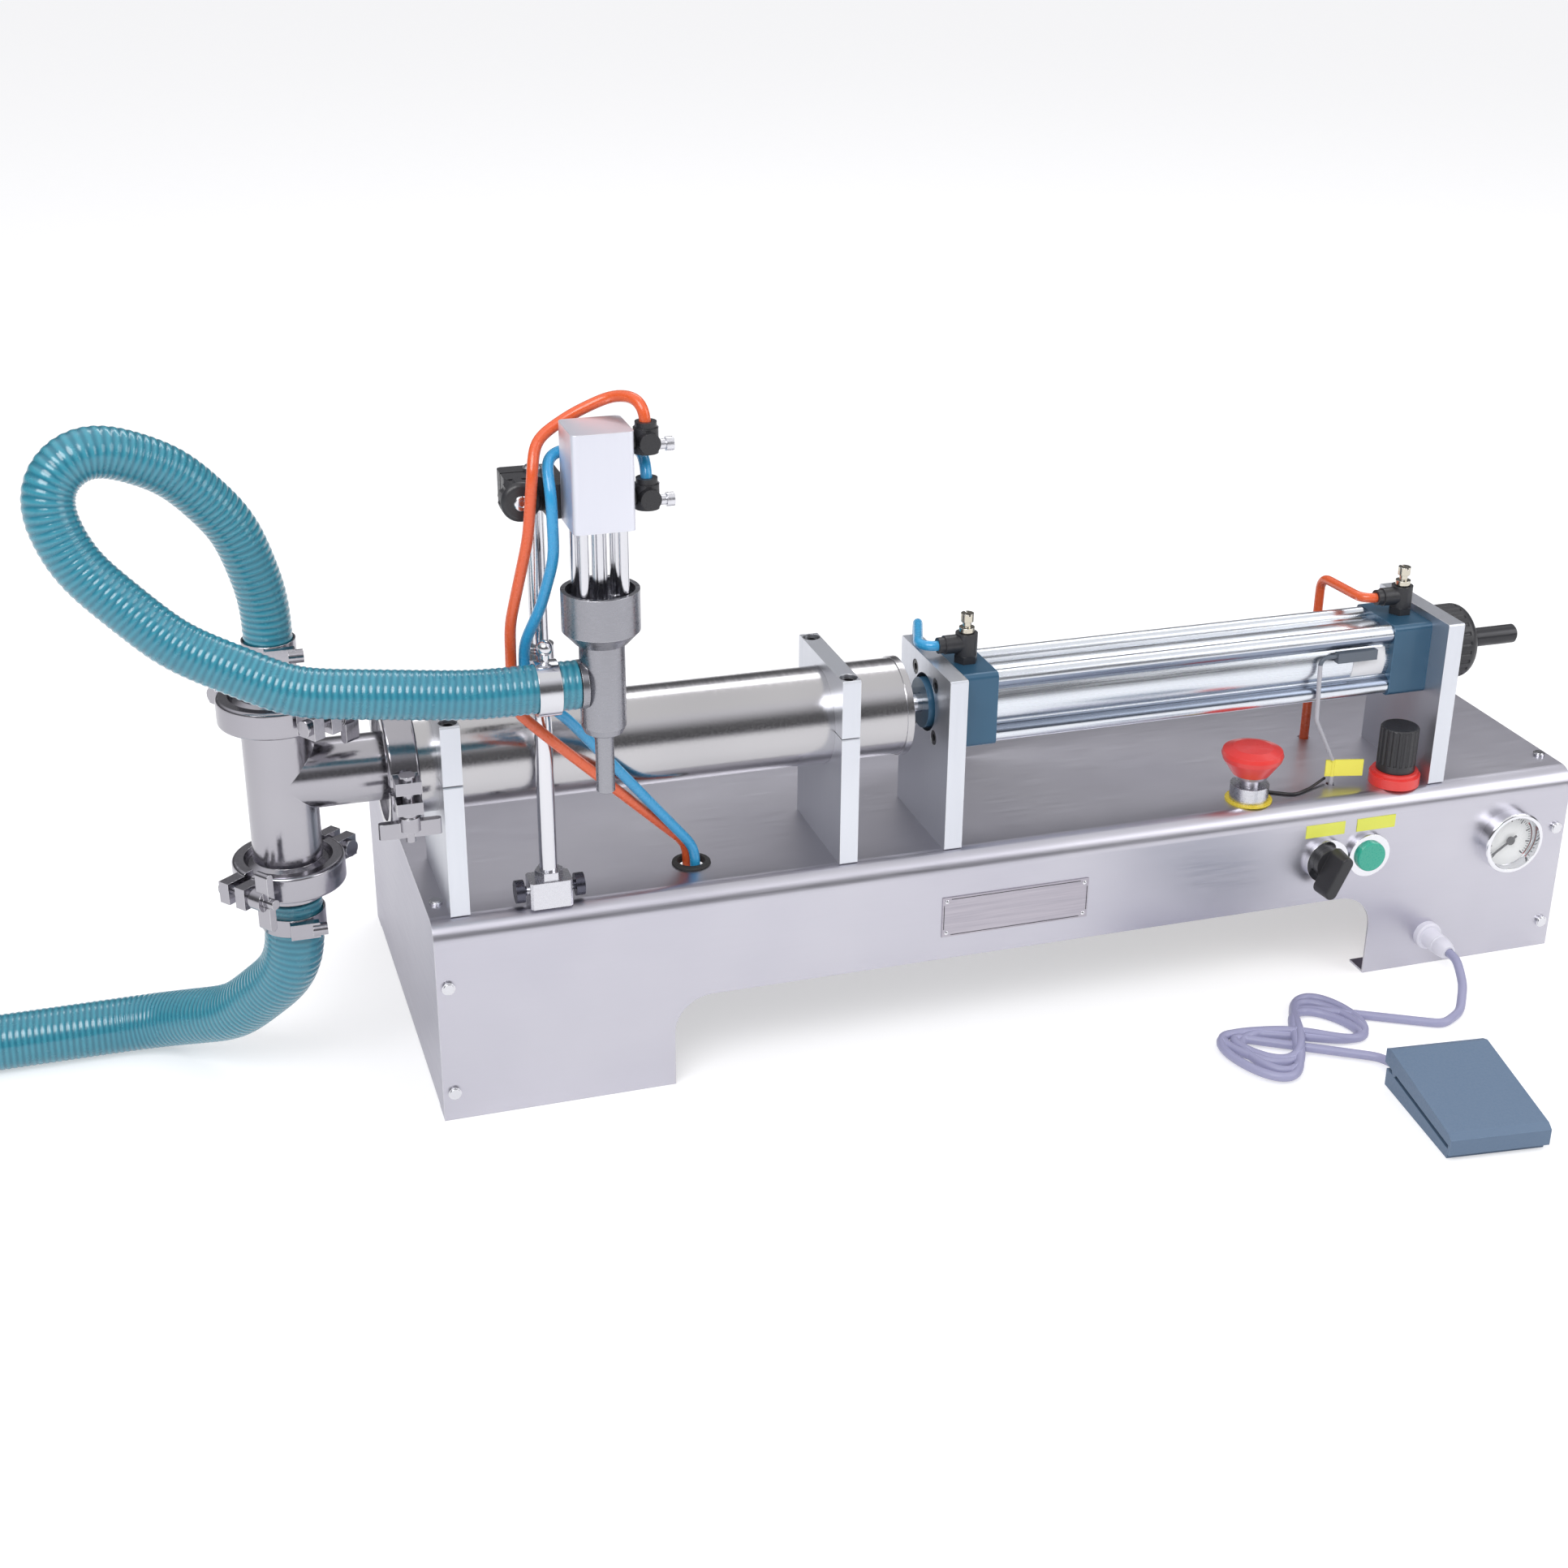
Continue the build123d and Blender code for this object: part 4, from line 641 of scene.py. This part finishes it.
def delivery_hose():
    """Loops up from the tee, over to the left and back to the filling head."""
    corners = [
        from_tee(0, 0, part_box("delivery_hose")[0].z / MM),
        from_tee(0, 0, 308),
        from_tee(-12, -6, 350),
        from_tee(-40, -14, 384),
        from_tee(-82, -26, 405),
        from_tee(-107, -33, 384),
        from_tee(-92, -40, 346),
        from_tee(-50, -56, 306),
        from_tee(5, -71, 280),
        Vector((HEAD.x - 67 * MM, HEAD.y, INLET_Z)),
        Vector((HEAD.x - ADAPTOR_FACE, HEAD.y, INLET_Z)),
    ]
    line = relaxed(rounded_path(corners, bend=22 * MM, step=PATH_STEP), passes=60)
    line = spaced(line, HOSE_STEP)
    hose = tube_piece(
        "delivery_hose_ribbed", line, DELIVERY_R, HOSE, HOSE_SIDES, DELIVERY_BORE_R, HOSE_RIB
    )
    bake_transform(hose)
    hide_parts("delivery_hose")


def suction_hose():
    """Drops from the tee and runs off along the table to a cut end."""
    low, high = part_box("suction_hose")
    rest_y = CASE.y + 4 * MM
    corners = [
        Vector((TEE.x, TEE.y, high.z)),
        from_tee(0, 0, 88),
        from_tee(-35, 41, 40),
        Vector((TEE.x - 80 * MM, rest_y, SUCTION_R)),
        Vector((low.x, rest_y, SUCTION_R)),
    ]
    line = relaxed(rounded_path(corners, bend=50 * MM, step=PATH_STEP), passes=40)
    line = spaced(line, HOSE_STEP)
    hose = tube_piece(
        "suction_hose_ribbed", line, SUCTION_R, HOSE, HOSE_SIDES, SUCTION_BORE_R, HOSE_RIB
    )
    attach(hose, "machine")
    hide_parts("suction_hose")


def grommet_place():
    """The middle of the hole in the case that the head's tubes go through."""
    return from_case(-208, -95, CASE_TOP / MM)


def head_tubes():
    """Two air tubes from the head's flow controls, round behind its block and down to the grommet."""
    block_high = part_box("head_air_block")[1]
    side_x = block_high.x + 9.5 * MM
    top = block_high.z
    hole = grommet_place()
    orange = [
        Vector((side_x, HEAD.y, top - 3.5 * MM)),
        Vector((side_x, HEAD.y, top + 12 * MM)),
        from_case(-259, -141, 417.6),
        from_case(-280, -139, 408.6),
        from_case(-300, -143, 398),
        from_case(-304, -154, 384),
        from_case(-307, -152, 350),
        from_case(-316.5, -141, 300),
        from_case(-316.5, -138, 252),
        from_case(-296, -134, 230),
        hole + Vector((-1.4, 3.2, 11)) * MM,
        hole + Vector((-1.4, 3.2, -13)) * MM,
    ]
    blue = [
        Vector((side_x, HEAD.y, top - 32.5 * MM)),
        Vector((side_x, HEAD.y, top - 22.6 * MM)),
        Vector((side_x + 2 * MM, CASE.y - 140 * MM, top - 17.6 * MM)),
        from_case(-295, -141, 391),
        from_case(-295.5, -157, 374),
        from_case(-295, -157, 340),
        from_case(-301, -147, 310),
        from_case(-309.3, -139, 288),
        from_case(-309.3, -137, 262),
        from_case(-286, -131, 240),
        hole + Vector((1.4, -3.2, 11)) * MM,
        hole + Vector((1.4, -3.2, -13)) * MM,
    ]
    tubes = (("head_tube_orange", orange, 8 * MM, ORANGE_TUBE), ("head_tube_blue", blue, 7 * MM, BLUE_TUBE))
    for name, corners, bend, material in tubes:
        line = relaxed(rounded_path(corners, bend, AIR_TUBE_STEP), passes=28)
        tube = tube_piece(name, line, AIR_TUBE_R, material, AIR_TUBE_SIDES)
        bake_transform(tube)
        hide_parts("head_air_tubes")


def cylinder_tubes():
    """A blue and an orange air tube from the cylinder's flow controls down into the case."""
    low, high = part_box("cylinder_tubes")
    ends = (
        ("front_air_tube", "front_needle", -66.5 * MM, -48 * MM, BLUE_TUBE),
        ("rear_air_tube", "rear_needle", 227.5 * MM, 227 * MM, ORANGE_TUBE),
    )
    drop_y = high.y - AIR_TUBE_R
    level = high.z - AIR_TUBE_R
    for name, needle, turn_x, drop_x, material in ends:
        port = middle(needle)
        corners = [
            Vector((port.x - 10 * MM, port.y, level)),
            Vector((CASE.x + turn_x, port.y, level)),
            Vector((CASE.x + drop_x, drop_y, level - 2 * MM)),
            Vector((CASE.x + drop_x, drop_y, low.z)),
        ]
        line = relaxed(rounded_path(corners, bend=8 * MM, step=AIR_TUBE_STEP), passes=4)
        tube = tube_piece(name, line, AIR_TUBE_R, material, AIR_TUBE_SIDES)
        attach(tube, "machine")
        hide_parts("cylinder_tubes")


CABLE_R = 2.8 * MM
CABLE_LIE = CABLE_R + 0.2 * MM   # height of the cable's middle where it lies on the table
COIL_TURNS, COIL_STEPS = 3.5, 130
COIL_REACH, COIL_WIDTH = 44 * MM, 24 * MM
COIL_ALONG, COIL_ACROSS = Vector((0.93, 0.36, 0.0)), Vector((-0.36, 0.93, 0.0))


def cable_coil(centre):
    """Points of a loose figure-of-eight bundle whose loops drift a little and lie over each other."""
    points = []
    for i in range(COIL_STEPS + 1):
        share = i / COIL_STEPS
        turn = 2 * math.pi * (COIL_TURNS * share + 0.08)
        size = 1.0 - 0.17 * math.sin(0.61 * turn + 0.9)
        drift = 0.3 * math.sin(0.37 * turn)
        out = COIL_REACH * size * math.cos(turn)
        side = COIL_WIDTH * size * math.sin(2 * turn + drift) + drift * 14 * MM
        near_crossing = math.exp(-(out / (0.42 * COIL_REACH)) ** 2)
        lift = (0.4 + 1.5 * share) * CABLE_R * near_crossing
        sway = 0.25 * CABLE_R * (1 - math.cos(turn))
        points.append(centre + COIL_ALONG * out + COIL_ACROSS * side + Vector((0, 0, lift + sway)))
    return points


def pedal_cable():
    """Cable from the plug at the case through its spare bundle to the foot switch."""
    low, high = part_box("pedal_cable")
    base_low, base_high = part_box("pedal_base")
    plug = Vector((high.x - 9 * MM, CASE_FRONT, 22 * MM))
    centre = Vector(((base_low.x + low.x) / 2 + 14 * MM, low.y + 58 * MM, CABLE_LIE))
    entry = Vector(((base_low.x + base_high.x) / 2 - 12 * MM, base_high.y, 6 * MM))
    lead_in = [
        plug + Vector((0, -20, 0)) * MM,
        plug + Vector((0, -36, 0)) * MM,
        plug + Vector((-3, -50, -10)) * MM,
        plug + Vector((-14, -66, -19)) * MM,
        plug + Vector((-32, -76, -19)) * MM,
    ]
    lead_out = [
        entry + Vector((-4, 22, -2)) * MM,
        entry + Vector((0, 6, 0)) * MM,
        entry + Vector((1, -3, 0)) * MM,
    ]
    line = relaxed(spaced(lead_in + cable_coil(centre) + lead_out, PATH_STEP), passes=8)
    for place in line:
        place.z = max(place.z, CABLE_LIE)
    cable = tube_piece("foot_switch_cable", line, CABLE_R, CABLE, sides=14)
    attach(cable, "machine")
    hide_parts("pedal_cable")
    cable_plug(plug)


def cable_plug(place):
    """Round plug with a grooved grip and a strain relief that tapers to the cable."""
    profile = [
        (6.0, -1.0), (9.0, -0.5), (9.0, 4.2), (8.2, 5.0), (6.6, 5.2), (6.5, 14.0), (6.1, 15.0),
        (6.5, 16.0), (6.1, 17.0), (6.5, 18.0), (5.6, 24.0), (4.4, 27.0), (3.0, 27.4), (2.6, 26.0),
    ]
    socket = lathe("foot_switch_plug", profile, place, (0, -1, 0), PLUG)
    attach(socket, "machine")


def sensor_wire():
    """Thin dark wire lying on the case between the cable tag and the emergency stop."""
    radius = 0.9 * MM
    stop = middle("estop_button")
    start = Vector((stop.x, stop.y, CASE_TOP + radius))
    corners = [
        start + Vector((14, 6, 0)) * MM,
        start + Vector((30, -4, 0)) * MM,
        start + Vector((44, 2, 0)) * MM,
        start + Vector((58, 9, 2)) * MM,
    ]
    line = relaxed(rounded_path(corners, bend=8 * MM, step=1.0 * MM), passes=10)
    wire = tube_piece("sensor_wire", line, radius, BLACK_PLASTIC, sides=10)
    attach(wire, "machine")


# ---- small details ------------------------------------------------------------------

def grommet():
    """Rubber ring round the hole that the head's tubes go through."""
    profile = [(7.4, -2.0), (7.2, 0.6), (8.2, 1.9), (9.8, 2.0), (11.2, 1.2), (11.4, 0.05)]
    ring = lathe("tube_grommet", profile, grommet_place(), (0, 0, 1), RUBBER)
    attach(ring, "machine")


def clamp_knob_centre():
    """Bright screw head in the middle of the head's clamp knob."""
    low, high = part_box("head_clamp_knob")
    place = Vector(((low.x + high.x) / 2, low.y, (low.z + high.z) / 2))
    profile = [(0.0, 0.6), (1.6, 0.6), (2.0, 1.3), (3.6, 1.3), (4.1, 0.8), (4.2, -0.4)]
    head = lathe("clamp_knob_centre", profile, place, (0, -1, 0), CHROME)
    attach(head, "clamp_knob")


DIAL_START, DIAL_SWEEP = 225, 270    # degrees from the right, anticlockwise
DIAL_TICKS = 40
RED_FROM_TICK, RED_BARS = 28, 24     # the band has two bars for each tick


def gauge_dial():
    """White dial with its scale and a red band, behind the glass of the gauge."""
    low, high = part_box("gauge_case")
    centre = Vector(((low.x + high.x) / 2, low.y + 7 * MM, (low.z + high.z) / 2))
    profile = [(0.0, 0.25), (2.0, 0.25), (17.2, 0.25), (17.7, 0.05)]
    dial = lathe("gauge_dial", profile, centre, (0, -1, 0), DIAL_WHITE, sides=64)
    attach(dial, "machine")
    ticks = []
    for i in range(DIAL_TICKS + 1):
        angle = math.radians(DIAL_START - DIAL_SWEEP * i / DIAL_TICKS)
        long = i % 5 == 0
        ticks.append((angle, 12.6 if long else 14.0, 15.6, 0.42 if long else 0.2))
    flat_marks("gauge_scale", centre, 0.4, ticks, INK)
    band = []
    for i in range(RED_BARS):
        angle = math.radians(DIAL_START - DIAL_SWEEP * (RED_FROM_TICK + i / 2) / DIAL_TICKS)
        band.append((angle, 16.0, 16.9, 0.9))
    flat_marks("gauge_band", centre, 0.4, band, RED_INK)


def flat_marks(name, centre, lift, marks, material):
    """Thin radial bars in front of a dial: (angle, inner radius, outer radius, half width)."""
    points, faces = [], []
    for angle, inner, outer, half in marks:
        out = Vector((math.cos(angle), 0, math.sin(angle)))
        across = Vector((-math.sin(angle), 0, math.cos(angle)))
        base = len(points)
        for reach, side in ((inner, -half), (outer, -half), (outer, half), (inner, half)):
            points.append(centre + (out * reach + across * side) * MM + Vector((0, -lift * MM, 0)))
        faces.append((base, base + 1, base + 2, base + 3))
    piece = mesh_piece(name, points, faces, material, smooth=False)
    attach(piece, "machine")


def barrel_sticker():
    """Blank white film wrapped round the front of the barrel at its rear end."""
    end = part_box("air_barrel")[1].x
    radius, steps = 19.75 * MM, 12
    points, faces = [], []
    for i in range(steps + 1):
        angle = math.radians(-27 + 54 * i / steps)
        forward, up = radius * math.cos(angle), radius * math.sin(angle)
        for x in (end - 25 * MM, end - 3 * MM):
            points.append(Vector((x, BARREL.y - forward, BARREL.z + up)))
    for i in range(steps):
        base = 2 * i
        faces.append((base, base + 1, base + 3, base + 2))
    film = mesh_piece("barrel_sticker", points, faces, WHITE_FILM)
    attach(film, "machine")


def nameplate_details():
    """Rivets and a thin printed border, without any lettering, on the nameplate."""
    centre = from_case(-17.5, 0, 85)
    centre.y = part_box("panel_labels")[0].y
    profile = [(0.0, 0.75), (0.8, 0.6), (1.3, 0.2), (1.4, -0.3)]
    for i, (side, up) in enumerate(SQUARE):
        place = centre + Vector((side * 44.2, 0, up * 10.3)) * MM
        rivet = lathe(f"nameplate_rivet_{i}", profile, place, (0, -1, 0), CHROME, sides=20)
        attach(rivet, "machine")
    bars = [
        (-41.5, 41.5, 11.6, 12.0),
        (-41.5, 41.5, -12.0, -11.6),
        (-46.2, -45.8, -8, 8),
        (45.8, 46.2, -8, 8),
    ]
    points, faces = [], []
    for left, right, bottom, top in bars:
        base = len(points)
        for x, z in ((left, bottom), (right, bottom), (right, top), (left, top)):
            points.append(centre + Vector((x, -0.12, z)) * MM)
        faces.append((base, base + 1, base + 2, base + 3))
    border = mesh_piece("nameplate_border", points, faces, INK, smooth=False)
    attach(border, "machine")


# ---- stage --------------------------------------------------------------------------

def floor():
    """Plain pale floor, a little brighter to the camera than to the metal that mirrors it."""
    shader = Shader("floor_paint", (0.62, 0.62, 0.63), roughness=0.7)
    shader.out.inputs["Emission Color"].default_value = (1.0, 1.0, 1.0, 1.0)
    seen = shader.add("ShaderNodeLightPath").outputs["Is Camera Ray"]
    shader.feed(shader.out.inputs["Emission Strength"], shader.spread(seen, 0.38, 0.5, 0.0, 1.0))
    shader.roughen(shader.spread(shader.noise(30.0), 0.65, 0.8))
    reach, level = 14.0, -0.2 * MM
    points = [Vector((x * reach, y * reach, level)) for x, y in SQUARE]
    mesh = bpy.data.meshes.new("floor")
    mesh.from_pydata([tuple(CASE + p) for p in points], [], [(0, 1, 2, 3)])
    mesh.materials.append(shader.finish())
    plane = bpy.data.objects.new("floor", mesh)
    bpy.context.scene.collection.objects.link(plane)


LIGHTS_AIM = Vector((-0.05, -0.05, 0.15))


def area_light(name, place, size, power):
    """A soft box at a place in metres from the case, turned to the machine."""
    lamp = bpy.data.lights.new(name, "AREA")
    lamp.shape = "RECTANGLE"
    lamp.size, lamp.size_y = size
    lamp.energy = power
    holder = bpy.data.objects.new(name, lamp)
    holder.location = CASE + Vector(place)
    aim = CASE + LIGHTS_AIM - holder.location
    holder.rotation_mode = "QUATERNION"
    holder.rotation_quaternion = aim.to_track_quat("-Z", "Y")
    bpy.context.scene.collection.objects.link(holder)


def lights():
    """Soft boxes above and on three sides."""
    area_light("key", (-1.3, -1.5, 2.0), (1.6, 1.2), 38.0)
    area_light("fill", (1.7, -1.3, 1.3), (1.4, 1.4), 16.0)
    area_light("back", (0.9, 1.6, 2.6), (2.0, 0.8), 14.0)


def sky():
    """A white backdrop for the camera; metal mirrors a sky that darkens towards the horizon."""
    world = bpy.data.worlds.new("soft_sky")
    bpy.context.scene.world = world
    world.use_nodes = True
    tree = world.node_tree
    background = tree.nodes["Background"]
    coords = tree.nodes.new("ShaderNodeTexCoord")
    parts = tree.nodes.new("ShaderNodeSeparateXYZ")
    tree.links.new(coords.outputs["Generated"], parts.inputs[0])
    ramp = tree.nodes.new("ShaderNodeValToRGB")
    tree.links.new(parts.outputs["Z"], ramp.inputs["Fac"])
    stops = ramp.color_ramp.elements
    stops[0].position, stops[0].color = 0.0, (0.42, 0.42, 0.45, 1)
    stops[1].position, stops[1].color = 0.9, (1.0, 1.0, 1.0, 1)
    for place, shade in ((0.10, 0.11), (0.42, 0.17), (0.6, 0.6), (0.75, 0.95)):
        stop = stops.new(place)
        stop.color = (shade, shade, shade * 1.04, 1)
    seen = tree.nodes.new("ShaderNodeLightPath").outputs["Is Camera Ray"]
    pale = tree.nodes.new("ShaderNodeMix")
    pale.data_type = "RGBA"
    tree.links.new(seen, pale.inputs["Factor"])
    tree.links.new(ramp.outputs["Color"], pale.inputs[6])
    pale.inputs[7].default_value = (1.0, 1.0, 1.0, 1)
    tree.links.new(pale.outputs[2], background.inputs["Color"])
    background.inputs["Strength"].default_value = 0.95


CAMERA_FROM_CASE = Vector((-0.5168, -1.2332, 0.7133))
CAMERA_AZIMUTH = math.radians(17.78)
CAMERA_DOWN = math.radians(24.53)
CAMERA_ROLL = math.radians(0.435)


def camera():
    """Looks at the front of the machine from the left and above."""
    data = bpy.data.cameras.new("camera")
    data.lens, data.sensor_width = 52.0, 36.0
    data.clip_end = 60.0
    ahead = Vector((
        math.sin(CAMERA_AZIMUTH) * math.cos(CAMERA_DOWN),
        math.cos(CAMERA_AZIMUTH) * math.cos(CAMERA_DOWN),
        -math.sin(CAMERA_DOWN),
    ))
    level = ahead.cross(Vector((0, 0, 1))).normalized()
    up = level.cross(ahead)
    right = level * math.cos(CAMERA_ROLL) + up * math.sin(CAMERA_ROLL)
    up = right.cross(ahead)
    holder = bpy.data.objects.new("camera", data)
    turn = Matrix((right, up, -ahead)).transposed().to_4x4()
    holder.matrix_world = Matrix.Translation(CASE + CAMERA_FROM_CASE) @ turn
    bpy.context.scene.collection.objects.link(holder)
    bpy.context.scene.camera = holder


# ---- build --------------------------------------------------------------------------

dress_nodes()
delivery_hose()
suction_hose()
head_tubes()
cylinder_tubes()
pedal_cable()
sensor_wire()
grommet()
clamp_knob_centre()
gauge_dial()
barrel_sticker()
nameplate_details()
floor()
lights()
sky()
camera()
bpy.context.scene.view_settings.view_transform = "Standard"
